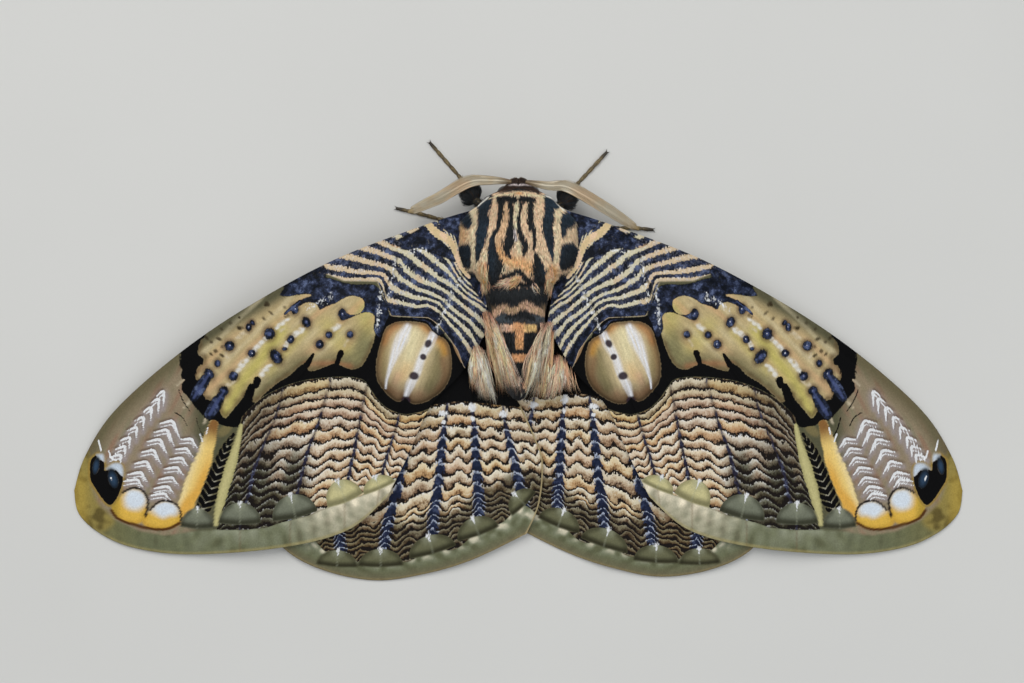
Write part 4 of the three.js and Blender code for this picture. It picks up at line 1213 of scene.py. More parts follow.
def makeNavyGroup():
    # speckled navy scales, with a painted highlight of bright blue in the middle of dots and drops
    wires, given, out = startGroup("navyScales", "Grain, Puff, Mottle, Core", "Color")
    soft = wires.maths("MULTIPLY_ADD", wires.maths("SUBTRACT", given["Grain"], 0.5), 0.4, given["Mottle"])
    patchy = wires.maths("MULTIPLY_ADD", wires.maths("SUBTRACT", given["Puff"], 0.5), 0.9, soft)
    base = wires.mix(wires.soften(0.3, 0.72, patchy), inkPlan["navyDark"], inkPlan["navy"])
    spark = wires.soften(0.58, 0.85, patchy)
    base = wires.mix(spark, base, inkPlan["navySpeck"])
    wires.feed(out["Color"], wires.mix(given["Core"], base, inkPlan["navyHighlight"]))
    return wires.tree


def makeWaveGroup():
    # ringed bands: a sharp dark line with white ticks under it, pale ground that warms and darkens softly to
    # the next line, and a navy column with pale flecks down each vein
    wires, given, out = startGroup(
        "ringedBands",
        "Line, Gap, Dark share, Navy width, Pale, Deep, Frost, Tooth, Grain, Puff, Mottle, Navy",
        "Color, Height")
    m = wires.maths
    jag = m("SUBTRACT", given["Tooth"], 0.5)
    puff = m("SUBTRACT", given["Puff"], 0.5)
    phase = m("FRACT", m("MULTIPLY_ADD", puff, 0.2, m("MULTIPLY_ADD", jag, 0.62, given["Line"])))
    share = m("MULTIPLY_ADD", puff, 0.12, given["Dark share"])
    dark = wires.soften(-0.04, 0.03, m("SUBTRACT", share, phase))
    dark = m("MAXIMUM", dark, wires.soften(0.95, 1, phase))
    rough = m("MULTIPLY_ADD", m("SUBTRACT", given["Grain"], 0.5), 0.7, phase)
    warm = wires.soften(0.3, 0.8, m("MULTIPLY_ADD", m("SUBTRACT", given["Mottle"], 0.5), 0.7, rough))
    colour = wires.mix(warm, given["Pale"], given["Deep"])
    shade = wires.soften(0.66, 1.02, m("MULTIPLY_ADD", puff, 0.3, rough))
    colour = wires.mix(m("MULTIPLY", shade, 0.92), colour, inkPlan["umber"], "MULTIPLY")
    beside = m("DIVIDE", given["Gap"], m("ADD", given["Navy width"], 0.3))
    halo = m("MULTIPLY", wires.soften(1, 0.2, beside), 0.3)
    colour = wires.mix(halo, colour, inkPlan["umber"], "MULTIPLY")
    under = m("SUBTRACT", phase, share)
    tick = m("MULTIPLY", wires.soften(0.3, 0.08, under), wires.soften(0.48, 0.62, given["Tooth"]))
    colour = wires.mix(m("MULTIPLY", tick, given["Frost"]), colour, inkPlan["white"])
    colour = wires.mix(dark, colour, inkPlan["line"])
    rise = m("MINIMUM", m("MAXIMUM", m("DIVIDE", m("SUBTRACT", phase, 0.12), 0.7), 0), 1)
    half = m("MULTIPLY", m("MULTIPLY_ADD", rise, 0.6, 0.4), given["Navy width"])
    edge = m("SUBTRACT", m("MULTIPLY_ADD", jag, 0.4, half), given["Gap"])
    column = m("MULTIPLY", wires.soften(-0.1, 0.08, edge), wires.soften(0.10, 0.24, given["Navy width"]))
    strong = wires.mix(wires.soften(0.38, 0.6, given["Navy width"]), inkPlan["violet"], inkPlan["column"])
    colour = wires.mix(column, colour, wires.mix(0.6, given["Navy"], strong))
    cap = m("MULTIPLY", wires.soften(-0.42, -0.16, edge), wires.soften(0.34, 0.16, under))
    cap = m("MULTIPLY", m("MULTIPLY", cap, wires.soften(0, 0.06, under)),
            wires.soften(0.36, 0.56, given["Tooth"]))
    cap = m("MULTIPLY", cap, wires.soften(0.2, 0.45, given["Navy width"]))
    colour = wires.mix(m("MULTIPLY", cap, 0.8), colour, inkPlan["frost"])
    wires.feed(out["Color"], colour)
    wires.feed(out["Height"], m("SUBTRACT", 1, m("MAXIMUM", dark, m("MULTIPLY", shade, 0.6))))
    return wires.tree


def makeStripeGroup():
    # cream stripes with ragged edges on dark ground
    wires, given, out = startGroup("baseStripes", "Line, Cream, Tooth, Puff, Navy", "Color, Height")
    m = wires.maths
    jag = m("MULTIPLY", m("SUBTRACT", given["Tooth"], 0.5), 0.56)
    jag = m("MULTIPLY_ADD", m("SUBTRACT", given["Puff"], 0.5), 0.14, jag)
    off = m("ABSOLUTE", m("SUBTRACT", m("FRACT", m("ADD", m("ADD", jag, given["Line"]), 0.5)), 0.5))
    pale = wires.soften(0.27, 0.17, off)
    tips = m("MULTIPLY", wires.soften(0.5, 0.75, given["Tooth"]), 0.55)
    tipped = wires.mix(tips, given["Cream"], inkPlan["white"])
    tipped = wires.mix(wires.soften(0.56, 0.75, given["Puff"], 0, 0.3), tipped, inkPlan["frost"])
    ground = wires.mix(wires.soften(0.42, 0.7, given["Tooth"], 0, 0.42), given["Navy"], inkPlan["gap"])
    wires.feed(out["Color"], wires.mix(pale, ground, tipped))
    wires.feed(out["Height"], pale)
    return wires.tree


inkGroup = makeInkGroup()
grainGroup = makeGrainGroup()
navyGroup = makeNavyGroup()
waveGroup = makeWaveGroup()
stripeGroup = makeStripeGroup()


def makeWingMaterial():
    material, wires, shader = startMaterial("wingScales", Specular_IOR_Level=0.07)
    m = wires.maths
    rows = wires.group(grainGroup, place=wires.place())
    line, gap, darkShare = wires.split(wires.field("waveLines", "Vector"))
    stripeLine, stripeZone, navyWidth = wires.split(wires.field("baseLines", "Vector"))
    black, navy, white = wires.split(wires.field("inks", "Vector"))
    ground = wires.field("groundColour", "Color")
    tooth, grain, puff = rows["Tooth"], rows["Grain"], rows["Puff"]
    mottle = rows["Mottle"]
    plainNavy = wires.group(navyGroup, grain=grain, puff=puff, mottle=mottle, core=0.0)["Color"]
    waves = wires.group(waveGroup, line=line, gap=gap, dark_share=darkShare, navy_width=navyWidth,
                        pale=wires.field("paleColour", "Color"), deep=wires.field("deepColour", "Color"),
                        frost=wires.field("frostShare"),
                        tooth=tooth, grain=grain, puff=puff, mottle=mottle, navy=plainNavy)
    stripes = wires.group(stripeGroup, line=stripeLine, cream=ground, tooth=tooth, puff=puff, navy=plainNavy)

    def mask(value, ragged, softness):
        return wires.group(inkGroup, field=value, ragged=ragged, tooth=tooth, softness=softness)["Mask"]

    waveOn = mask(wires.field("waveZone"), 0.4, 0.08)
    navyOn = mask(navy, 0.4, 0.12)
    colour = wires.mix(mask(stripeZone, 0.5, 0.08), ground, stripes["Color"])
    colour = wires.mix(waveOn, colour, waves["Color"])
    colour = wires.mix(mask(black, 0.5, 0.08), colour, inkPlan["black"])
    # painted highlight: bright blue along the middle of navy dots and drops, where the navy field is
    # strongest
    core = m("MULTIPLY", wires.soften(0.84, 1, navy), 0.8)
    blue = wires.group(navyGroup, grain=grain, puff=puff, mottle=mottle, core=core)["Color"]
    blue = wires.mix(wires.soften(0.5, 0.68, navy), inkPlan["black"], blue)
    colour = wires.mix(navyOn, colour, blue)
    colour = wires.mix(m("MULTIPLY", mask(white, 0.7, 0.12), 0.95), colour, inkPlan["white"])
    speck = wires.mix(wires.soften(0.25, 0.8, grain), light(232, 232, 232), light(255, 255, 255))
    wires.feed(shader.inputs["Base Color"], wires.mix(1, colour, speck, "MULTIPLY"))
    wires.feed(shader.inputs["Roughness"], wires.soften(0.2, 0.9, navyOn, 0.66, 0.5))
    tall = m("ADD", m("MULTIPLY", wires.field("relief"), 0.9), m("MULTIPLY", rows["Height"], 0.35))
    tall = m("ADD", tall, m("MULTIPLY", m("MULTIPLY", waves["Height"], waveOn), 0.35))
    addBump(wires, shader, tall, 0.5, 0.00012)
    return material


wingMaterial = makeWingMaterial()
print("wing material ready")


def makeWing(wing, sideName, side, surface, marks):
    name = wing + "Pattern_" + sideName
    steps, coarse = wingPlan[wing + "Steps"], wingPlan["coarse"]
    nu, nv = steps
    grids = [np.meshgrid(np.linspace(0, 1, nu // part + 1), np.linspace(0, 1, nv // part + 1), indexing="ij")
             for part in (1, coarse)]
    u, v = (np.concatenate([grid[k].ravel() for grid in grids]) for k in (0, 1))
    fine = grids[0][0].size
    x, y, z = surface(u, v)
    bulge, fields = marks(*drawnPlace(x, y, z), x, y)
    edge = np.minimum(np.minimum(1 - u, v) * 60, (1 - v) * 40)
    thick = wingPlan["sheetEdge"] + (wingPlan["sheet"] - wingPlan["sheetEdge"]) * ease(0, 2, edge)
    z = z + bulge + 0.07 * fields["relief"] - 0.03
    z[fine:] -= thick[fine:] + 0.07 * fields["relief"][fine:]
    z[:fine] = np.maximum(z[:fine], 0.1)
    z = np.maximum(z, 0.03)
    quads, stitches = shellGrid(steps, coarse)
    mesh = makeMesh(name, np.column_stack([x * side, y, z]), quads[:, ::side], stitches[:, ::side])
    for key, values in fields.items():
        giveField(mesh, key, values)
    # the upper side fills most of the map, the underside has a strip of its own beside it
    reach = max(np.ptp(x), np.ptp(y) / 0.82)
    above = np.column_stack([(x - x.min()) / reach, (y - y.min()) / reach]) * 0.98 + 0.01
    spots = above.copy()
    spots[fine:] = spots[fine:] * 0.16 + (0, 0.83)

    def keepRim(places, corner):
        rim = len(quads) * 4
        places[rim:] = above[corner[rim:]]
        return places

    giveUnwrap(mesh, spots, keepRim)
    placePiece(name, mesh, wingMaterial, "wing", wing + "_" + sideName)
    print(name, "made with", len(quads) * 2 + len(stitches), "triangles")


foreCache = {}


def foreMarksOnce(x, y, ownX, ownY):
    # both forewings wear the same markings
    if len(x) not in foreCache:
        foreCache[len(x)] = forewingMarks(x, y)
    return foreCache[len(x)]


for sideName, sideSign in (("left", -1), ("right", 1)):
    makeWing("forewing", sideName, sideSign, foreSurface, foreMarksOnce)
    dropHere = wingPlan["dropLeft"] if sideSign < 0 else wingPlan["dropRight"]
    lowHere = 0.0 if sideSign < 0 else wingPlan["layerStep"]

    def hindHere(u, v, drop=dropHere, lowered=lowHere):
        return hindSurface(u, v, drop, lowered)

    def hindMarksHere(x, y, ownX, ownY, drop=dropHere):
        settle = (wingPlan["dropLeft"] - drop) * (1 - ease(0, 41, x))
        return hindwingMarks(x, y - settle, ownX, ownY + drop * (1 - ease(0, 41, x)))

    makeWing("hindwing", sideName, sideSign, hindHere, hindMarksHere)
print("wings done")


# markings of the coat
coatPaints = {"peach": light(240, 197, 168), "cream": light(246, 213, 184), "pink": light(236, 196, 174),
    "gold": light(206, 164, 110), "tan": light(200, 172, 138), "smoke": light(62, 62, 64),
    "black": light(36, 39, 42), "bluish": light(42, 56, 70), "brown": light(88, 66, 46),
    "orange": light(236, 180, 134), "lilac": light(214, 204, 208), "white": light(232, 230, 222),
    "honey": light(218, 182, 140), "ash": light(186, 180, 166), "slate": light(74, 82, 90)}
# dark strokes on the back: points, and half widths along them
backStrokes = (
    ([(-4.2, 25.4), (-4.6, 24.8), (-5.2, 23.4), (-5.25, 22.1), (-5.45, 20.7), (-5.7, 19), (-6.05, 17.3),
        (-6.2, 15.8)], (0.6, 0.95, 0.84, 0.84, 0.86, 0.72, 0.5, 0.2)),
    ([(4.1, 25.3), (4.4, 24.7), (4.6, 23.4), (4.5, 22.1), (4.4, 20.7), (4.6, 19.5), (4.8, 18.2),
        (5.05, 16.6), (5.2, 15.6)], (0.5, 0.78, 0.76, 0.85, 0.85, 0.74, 0.54, 0.3, 0.1)),
    ([(-2.75, 24.9), (-1.7, 25), (-0.6, 24.9)], (0.5, 0.56, 0.48)),
    ([(-2.6, 24.4), (-2.66, 23.2), (-2.76, 22.4), (-2.95, 21.5), (-3.2, 20.6), (-3.6, 19.9), (-3.94, 19),
        (-4, 18), (-3.94, 17), (-3.65, 15.6), (-3.5, 14.6), (-3.9, 13.6), (-4, 12.2)], (0.5, 0.42, 0.38,
        0.33, 0.28, 0.36, 0.5, 0.64, 0.85, 1.2, 1.35, 0.95, 0.8)),
    ([(-1.15, 24.4), (-1.08, 23.2), (-1.1, 22.4), (-1.15, 21.5), (-1.25, 20.7), (-1.25, 19.9), (-1.3, 19),
        (-1.55, 18.2), (-1.85, 17.3), (-1.5, 16.6), (-1.2, 16.1)], (0.46, 0.38, 0.32, 0.3, 0.44, 0.6, 0.78,
        0.84, 0.68, 0.4, 0.15)),
    ([(0.45, 24.9), (1.25, 24.95), (2.1, 24.8)], (0.5, 0.64, 0.52)),
    ([(0.4, 24.4), (0.22, 23.2), (0.08, 22.4), (0.02, 21.5), (0.02, 20.7), (0.22, 19.9), (0.56, 19),
        (0.95, 18.2), (0.9, 17.3), (0.8, 16.5)], (0.3, 0.2, 0.24, 0.28, 0.32, 0.4, 0.42, 0.54, 0.56, 0.25)),
    ([(1.85, 24.4), (1.75, 23.2), (1.75, 22.4), (1.78, 21.5), (2, 20.7), (2.3, 19.9), (2.43, 19),
        (2.35, 18.2), (2.3, 17.3)], (0.5, 0.46, 0.46, 0.48, 0.48, 0.38, 0.3, 0.26, 0.13)),
    ([(2.55, 16.8), (2.85, 15.6), (3.05, 14.6), (3.1, 13.6), (3.2, 12.2), (3.1, 11.2)],
        (0.22, 0.68, 1, 1.1, 1, 1.1)),
    ([(-4, 12.5), (-2.2, 13.25), (-0.9, 13.7), (-0.2, 14.1), (0.6, 13.6), (1.2, 12.9), (2.2, 12.2)], (0.3,
        0.36, 0.4, 0.42, 0.36, 0.42, 0.6)),
    ([(-3.6, 12), (0, 12), (2.4, 12)], (0.6, 0.6, 0.6)),
    ([(-4.8, 10.4), (-1.6, 10.4), (1.6, 10.5), (4.8, 10.5)], (1.5, 1.5, 1.5, 1.4)),
    ([(-1.8, 6.95), (-0.6, 7.3), (0.5, 7.45), (1.4, 7.1), (2.3, 6.7)], (0.35, 0.55, 0.7, 0.55, 0.35)),
    ([(-1.6, 4.3), (-1.35, 3), (-0.8, 1.9)], (0.6, 0.72, 0.3)),
    ([(1.7, 4.3), (1.5, 3), (1.1, 1.9)], (0.6, 0.66, 0.3)),
    ([(-1.2, 1.6), (0.2, 1.6), (1.6, 1.7)], (0.25, 0.3, 0.35)),
    ([(0.5, -0.6), (0.45, -2), (0.5, -3.6), (0.2, -5.2)], (1.1, 1, 0.9, 0.9)),
)
backPatches = (
    [(-8.5, 22.5), (-8, 23.5), (-7.3, 23.6), (-6.9, 22.6), (-6.95, 21.3), (-7.5, 20.7), (-8.2, 21.4)],
    [(-9.2, 18.4), (-7.3, 18.5), (-7.1, 16.8), (-7.3, 14.9), (-8.2, 15.2), (-9.2, 16.6)],
    [(6.4, 22.6), (7, 23.3), (7.9, 23), (8.3, 22), (8, 21.1), (7.3, 20.7), (7.1, 19.8), (6.5, 19.4),
        (6.3, 21)],
    [(6.5, 18.1), (7.6, 18.8), (8.7, 18.2), (9, 16.8), (8.4, 15.6), (6.9, 14.4), (6.2, 15)],
    [(-9.6, 13.6), (-7.2, 14.4), (-6.4, 13), (-5.6, 11.2), (-7, 10)],
    [(9.6, 13.6), (7, 14), (6.2, 13), (5.4, 11), (7, 10)],
    [(-3.6, 25.45), (-1.6, 26.4), (-0.1, 26.75), (0.8, 26.95), (1.8, 26.7), (3.6, 25.55), (2, 25.95),
        (0.5, 26.1), (-1, 26), (-2.6, 25.8)],
    [(-6.4, 24), (-5.6, 24.9), (-4.4, 25.4), (-4, 24.6), (-5.6, 23.6)],
    [(4, 25.4), (5.4, 24.9), (6.1, 23.9), (5.2, 23.6)],
)
backTints = (
    ([(-1.9, 24), (-2, 22.4), (-2.1, 21), (-2.7, 19.6), (-2.95, 18)], 0.7, "tan", 0.9),
    ([(1, 23.6), (0.9, 22), (1.2, 20.6), (1.7, 18.8)], 0.5, "peach", 0.6),
    ([(-0.2, 25), (-0.3, 22.6), (-0.6, 21.2), (-0.5, 19.6), (0.1, 18), (0, 16.6)], 0.36, "cream", 1.2),
    ([(-0.7, 20.4), (-0.45, 19)], 0.22, "lilac", 1.4),
    ([(-3.6, 24.4), (-4.1, 22), (-4.7, 19), (-5.2, 16)], 0.5, "peach", 0.9),
    ([(-4.9, 16.6), (-5.3, 14.6), (-5.2, 13)], 0.6, "cream", 0.9),
    ([(3, 22), (3.3, 20), (4.1, 17.4), (5, 15)], 0.5, "peach", 0.8),
    ([(-3, 17), (-1.6, 15.7), (0.6, 15.2), (1.8, 14.4)], 0.9, "orange", 1.1),
    ([(-2, 14.6), (-4, 13.2)], 0.4, "cream", 1.2),
    ([(-5.4, 14.4), (-5.1, 12), (-4.9, 10)], 0.6, "gold", 1.2),
    ([(5.2, 14.2), (5, 12), (4.8, 10)], 0.6, "gold", 1.4),
    ([(-8.6, 21.2), (-8.1, 19.6)], 0.8, "orange", 0.8), ([(8.2, 20.4), (8, 19.8)], 0.8, "peach", 1),
    ([(-6.6, 24), (-6.7, 21), (-6.7, 18), (-6.8, 15)], 0.5, "cream", 0.8),
    ([(5.9, 23.4), (5.8, 20), (5.6, 16)], 0.5, "cream", 0.6),
)


def coatColours(x, y, z, wobble):
    # colour of skin and fur at a place on the body; wobble is a random number for each tuft
    c = coatPaints
    sheet = MarkSheet(x, y, c["peach"])
    tint, strokeField = sheet.tint, sheet.strokeField
    cloud = softNoise(x, y, 4, 41)
    tint(ease(-0.2, 1.4, cloud + wobble * 0.6) * 0.8, c["cream"])
    tint(ease(0.2, 1.3, -cloud + wobble * 0.8) * 0.5, c["pink"])
    for points, half, key, share in backTints:
        tint(strokeField(points, [half, half]) * share, c[key])
    tail = ease(10.2, 9.9, y)
    tint(tail, c["smoke"])
    tint(tail * ease(3, 4.4, np.abs(x)), c["tan"] * 0.5)
    tint(tail * strokeField([(-3.6, 6.7), (-2.2, 6.8), (-1.4, 6.6)], 0.6), c["slate"])
    tint(tail * strokeField([(2.2, 6.5), (3.8, 6.8)], 0.6), c["slate"])
    arch = strokeField(
        [(-3.9, 7.2), (-3, 8.1), (-2.2, 8.5), (-1.3, 8), (-0.1, 8.3), (0.7, 8.8), (1.3, 8.9), (2.2, 8.3),
            (3.9, 7.5)], [0.4, 0.55, 0.6, 0.5, 0.5, 0.6, 0.62, 0.55, 0.4])
    arch = tail * ease(0.3, 0.6, arch + 0.14 * wobble)
    arched = y - 0.4 * np.exp(-((x + 0.2) / 0.5) ** 2)
    bar = ease(5.95, 5.75, arched) * ease(4.6, 4.85, y) * ease(2.9, 2.6, np.abs(x))
    tint(bar, c["orange"])
    tint(bar * ease(0.1, 1.7, x), light(232, 200, 142))
    tint(bar * ease(-0.3, -2, x), c["pink"])
    tint(bar * ease(-1.3, -2.8, x) * 0.6, c["ash"])
    stem = ease(4.9, 4.7, y) * ease(1.9, 2.2, y) * ease(0.72, 0.56, np.abs(x - 0.15))
    tint(stem, c["orange"])
    tint(stem * ease(4.2, 3.2, y) * 0.5, c["gold"])
    block = ease(1.4, 1.25, y) * ease(-0.05, 0.2, y) * ease(1.3, 1.1, np.abs(x - 0.15))
    tint(block, c["orange"])
    for points, halves in backStrokes:
        sheet.stroke("black", points, np.array(halves))
    for points in backPatches:
        sheet.pour("black", sheet.patchField(points, 0.3))
    sheet.erase(np.maximum(bar, np.maximum(stem, block)))
    dark = ease(0.44, 0.56, sheet.ink["black"] + (0.17 + 0.12 * ease(3.2, 2.4, np.abs(x))) * wobble)
    tint(dark, c["black"])
    tint(dark * ease(2.8, 4.4, np.abs(x)) * ease(12, 14, y) * (0.6 + 0.35 * cloud), c["bluish"])
    tint(arch, c["tan"] * 0.74)
    tint(arch * ease(-0.4, 0.9, cloud + wobble) * 0.7, c["pink"])
    collar = strokeField(
        [(-4.2, 25.1), (-3.4, 25.3), (-2.7, 25.55), (-1.4, 25.6), (-0.2, 25.8), (1, 25.65), (2.2, 25.5),
            (3.7, 25.35)], [0.08, 0.1, 0.1, 0.12, 0.26, 0.26, 0.12, 0.08])
    tint(ease(0.35, 0.7, collar + 0.06 * wobble), c["cream"])
    tint(ease(0.5, 0.8, collar) * np.exp(-((x - 0.1) / 0.6) ** 2), c["orange"])
    tint(strokeField([(3.9, 25.5), (5, 25.1), (5.8, 24.3), (6.6, 23.4)], 0.09), c["white"])
    tint(strokeField([(-4.3, 25.3), (-5.3, 24.6), (-5.9, 24)], 0.09), c["white"])
    front = ease(26.2, 26.4, y - 0.7 * np.exp(-(x / 2.4) ** 2) + 0.5)
    tint(front, light(52, 40, 34))
    tint(front * np.exp(-((y - 27.1) / 0.13) ** 2) * ease(1.9, 1.4, np.abs(x - 0.3)) * 0.9, c["lilac"])
    sheet.shade(tail, 0.82)
    under = ease(6.8, 5.4, z)
    tint(under, c["brown"])
    tint(under * ease(-0.2, 0.9, wobble + cloud * 0.5) * 0.6, c["tan"])
    return sheet.ground


# body skin: place along it, half width, top, widest level, underside
skinRows = [
    (28.3, 0.5, 6.2, 5.5, 4.8), (28, 1.2, 6.9, 5.5, 4), (27.2, 1.9, 7.7, 5.6, 3.4), (26.5, 2.6, 9, 6.2, 3.2),
    (25.9, 3.6, 10.3, 7.2, 3.4), (25.3, 4.6, 11, 7.6, 3.6), (24.2, 5.8, 11.5, 7.7, 3.9),
    (23, 7.2, 11.8, 7.5, 3.4), (21.6, 8.2, 11.9, 7.3, 3), (18.4, 8.8, 12, 7.4, 2.8),
    (15.4, 8.2, 11.6, 7.4, 3), (13, 6.5, 11, 7.2, 3.3), (11.6, 5, 10.2, 7, 3.8), (8.4, 4.1, 9.8, 6.6, 3.6),
    (4.5, 3.9, 9.5, 6.6, 3.6), (0.5, 3.3, 9, 6.8, 4.3), (-3, 2.4, 8.4, 7, 5.4), (-5, 1.3, 7.8, 6.95, 6),
    (-5.6, 0.4, 7.3, 6.9, 6.6)]
skinPlan = {"rings": 170, "around": 104, "pucker": 0.05, "map": (0.02, 0.12, 0.96, 0.86)}


def ringBody(rows, count, around):
    # lofts a closed body through its rows
    line = smoothLine(rows, count)
    angle = np.linspace(0, 2 * np.pi, around, endpoint=False)
    ca, sa = np.cos(angle), np.sin(angle)
    points = []
    for y, wide, top, level, low in line:
        reach = np.where(sa > 0, top - level, level - low)
        points.append(np.column_stack([wide * np.sign(ca) * np.abs(ca) ** 0.95, np.full(around, y),
                                       level + np.sign(sa) * reach * np.abs(sa) ** 0.92]))
    return np.vstack(points), ringQuads(count, around), line


def ringQuads(count, around):
    ids = np.arange(count * around).reshape(count, around)
    return gridFaces(np.hstack([ids, ids[:, :1]]))[:, [0, 3, 2, 1]]


def closeTube(points, quads, around):
    # a fan of triangles over each end ring
    last = len(points)
    ring = np.arange(around)
    following = (ring + 1) % around
    first = np.column_stack([ring, np.full(around, last), following])
    second = np.column_stack([following, np.full(around, last + 1), ring])
    second[:, [0, 2]] += last - around
    ends = np.vstack([points[:around].mean(0), points[last - around:].mean(0)])
    return np.vstack([points, ends]), quads, np.vstack([first, second])


def meshNormals(points, quads):
    normal = np.zeros(points.shape)
    for f in (quads[:, [0, 1, 2]], quads[:, [0, 2, 3]]):
        n = np.cross(points[f[:, 1]] - points[f[:, 0]], points[f[:, 2]] - points[f[:, 0]])
        for k in range(3):
            np.add.at(normal, f[:, k], n)
    return normal / np.maximum(np.linalg.norm(normal, axis=1), 1e-9)[:, None]


def tube(path, across, up, wide, deep, around):
    # a limb along a path: across and up are its frame, wide and deep its half sizes
    angle = np.linspace(0, 2 * np.pi, around, endpoint=False)
    points = (path[:, None, :] + across[:, None, :] * (np.cos(angle)[None, :, None] * wide[:, None, None])
              + up[:, None, :] * (np.sin(angle)[None, :, None] * deep[:, None, None])).reshape(-1, 3)
    return closeTube(points, ringQuads(len(path), around), around)


def limbFrame(path):
    ahead = np.gradient(path, axis=0)
    ahead /= np.linalg.norm(ahead, axis=1)[:, None]
    across = np.cross((0, 0, 1), ahead)
    across /= np.maximum(np.linalg.norm(across, axis=1), 1e-6)[:, None]
    return ahead, across, np.cross(ahead, across)


def joinParts(parts):
    points, quads, triangles, marks = [], [], [], []
    total = 0
    for p, q, t, mark in parts:
        points.append(p)
        quads.append(np.asarray(q).reshape(-1, 4) + total)
        triangles.append(np.asarray(t).reshape(-1, 3) + total)
        marks.append(mark if np.ndim(mark) else np.full(len(p), mark))
        total += len(p)
    return np.vstack(points), np.vstack(quads), np.vstack(triangles), np.concatenate(marks)


def makeFurMaterial(name, roughness, sheen):
    material, wires, shader = startMaterial(name, Roughness=roughness, Specular_IOR_Level=0.1,
                                            Sheen_Weight=sheen, Sheen_Roughness=0.4)
    place = wires.place()
    strand = wires.noise(place, 0.25, 2, (1, 0.25, 1))
    tinted = wires.mix(wires.soften(0.3, 0.7, strand), light(226, 222, 216), light(255, 254, 250))
    colour = wires.mix(1, wires.field("coatColour", "Color"), tinted, "MULTIPLY")
    wires.feed(shader.inputs["Base Color"], colour)
    fine = wires.noise(place, 0.1, 1, (1, 0.15, 1))
    addBump(wires, shader, wires.maths("ADD", strand, fine), 0.35, 0.00006)
    return material


skinMaterial = makeFurMaterial("bodySkin", 0.75, 0.02)
furMaterial = makeFurMaterial("mothFur", 0.65, 0.03)
hairMaterial = makeFurMaterial("longHair", 0.5, 0.04)

skinPoints, skinQuads, skinLine = ringBody(skinRows, skinPlan["rings"], skinPlan["around"])
mapX, mapY, mapWide, mapTall = skinPlan["map"]
skinSpots = np.column_stack([
    mapX + mapWide * np.tile(np.arange(skinPlan["around"]) / skinPlan["around"], skinPlan["rings"]),
    mapY + mapTall * np.repeat(np.linspace(0, 1, skinPlan["rings"]), skinPlan["around"])])
palpPlan = {"path": [(0.75, 26.6, 3.7), (0.85, 27.6, 3.35), (0.82, 28.2, 4.1)], "wide": 0.32, "deep": 0.28,
            "rings": 14, "around": 12}


def makeSkin():
    # one closed skin over abdomen, chest and head, with the palps joined on
    around = skinPlan["around"]
    body = closeTube(skinPoints, skinQuads, around)
    normals = np.vstack([meshNormals(skinPoints, skinQuads), [(0, 1, 0), (0, -1, 0)]])
    wave = softNoise(body[0][:, 0] + body[0][:, 2], body[0][:, 1], 1.4, 51)
    parts = [(body[0] + normals * (skinPlan["pucker"] * wave)[:, None], body[1], body[2], 0)]
    spots = [skinSpots, [(mapX + mapWide / 2, mapY), (mapX + mapWide / 2, mapY + mapTall)]]
    count = palpPlan["rings"]
    for number, sign in enumerate((-1, 1)):
        path = smoothLine([(x * sign, y, z) for x, y, z in palpPlan["path"]], count)
        _, across, up = limbFrame(path)
        size = 0.45 + 0.55 * np.sin(np.linspace(0.5, 2.9, count))
        wide, deep = palpPlan["wide"] * size, palpPlan["deep"] * size
        parts.append((*tube(path, across, up, wide, deep, palpPlan["around"]), 1.0))
        turn = 2 * np.pi * np.tile(np.arange(palpPlan["around"]), count) / palpPlan["around"]
        far = 0.008 + 0.036 * np.repeat(np.linspace(0, 1, count), palpPlan["around"])
        middle = np.array([0.06 + 0.12 * number, 0.055])
        spots.append(middle + np.column_stack([np.cos(turn), np.sin(turn)]) * far[:, None])
        spots.append([middle, middle + (0.046, 0)])
    points, quads, triangles, kind = joinParts(parts)
    mesh = makeMesh("bodySkin", points, quads, triangles)
    colour = coatColours(points[:, 0], points[:, 1], points[:, 2], np.zeros(len(points)))
    giveField(mesh, "coatColour", np.where(kind[:, None] > 0.5, coatPaints["brown"], colour * 0.6))

    def closeSeam(places, corner):
        # the last strip of the cylinder map runs on past its edge, not back across it
        faces = places[:len(skinQuads) * 4].reshape(-1, 4, 2)
        wraps = np.ptp(faces[:, :, 0], axis=1) > 0.5
        faces[wraps, :, 0] += np.where(faces[wraps, :, 0] < 0.5, mapWide, 0)
        places[:len(skinQuads) * 4] = faces.reshape(-1, 2)
        return places

    giveUnwrap(mesh, np.vstack(spots), closeSeam)
    placePiece("bodySkin", mesh, skinMaterial, "fur", "head", "thorax", "abdomen", "palp_left", "palp_right")


makeSkin()
print("body skin made")


def bladeMesh(path, across, up, widths, thick):
    # closed three-sided blades: path is blade x step x 3, widths blade x step, last step is the tip
    blades, steps, _ = path.shape
    left = path[:, :-1] - across[:, :-1] * widths[:, :-1, None]
    right = path[:, :-1] + across[:, :-1] * widths[:, :-1, None]
    crest = path[:, :-1] + up[:, :-1] * (widths[:, :-1, None] * thick)
    ring = np.stack([left, right, crest], axis=2).reshape(blades, (steps - 1) * 3, 3)
    points = np.concatenate([ring, path[:, -1:]], axis=1)
    perBlade = points.shape[1]
    faces = []
    for k in range(0, (steps - 2) * 3, 3):
        for a, b in ((0, 1), (1, 2), (2, 0)):
            faces.append((k + a, k + b, k + 3 + b, k + 3 + a))
    tip = perBlade - 1
    last = (steps - 2) * 3
    ends = [(last, last + 1, tip), (last + 1, last + 2, tip), (last + 2, last, tip), (0, 2, 1)]
    start = (np.arange(blades) * perBlade)[:, None, None]
    quads = (np.array(faces)[None] + start).reshape(-1, 4)
    triangles = (np.array(ends)[None] + start).reshape(-1, 3)
    return points.reshape(-1, 3), quads, triangles, perBlade


furPlan = {"velvet": 1.15, "swirl": 0.16, "patch": 0.003, "light": 1.6, "overlight": 0.35}


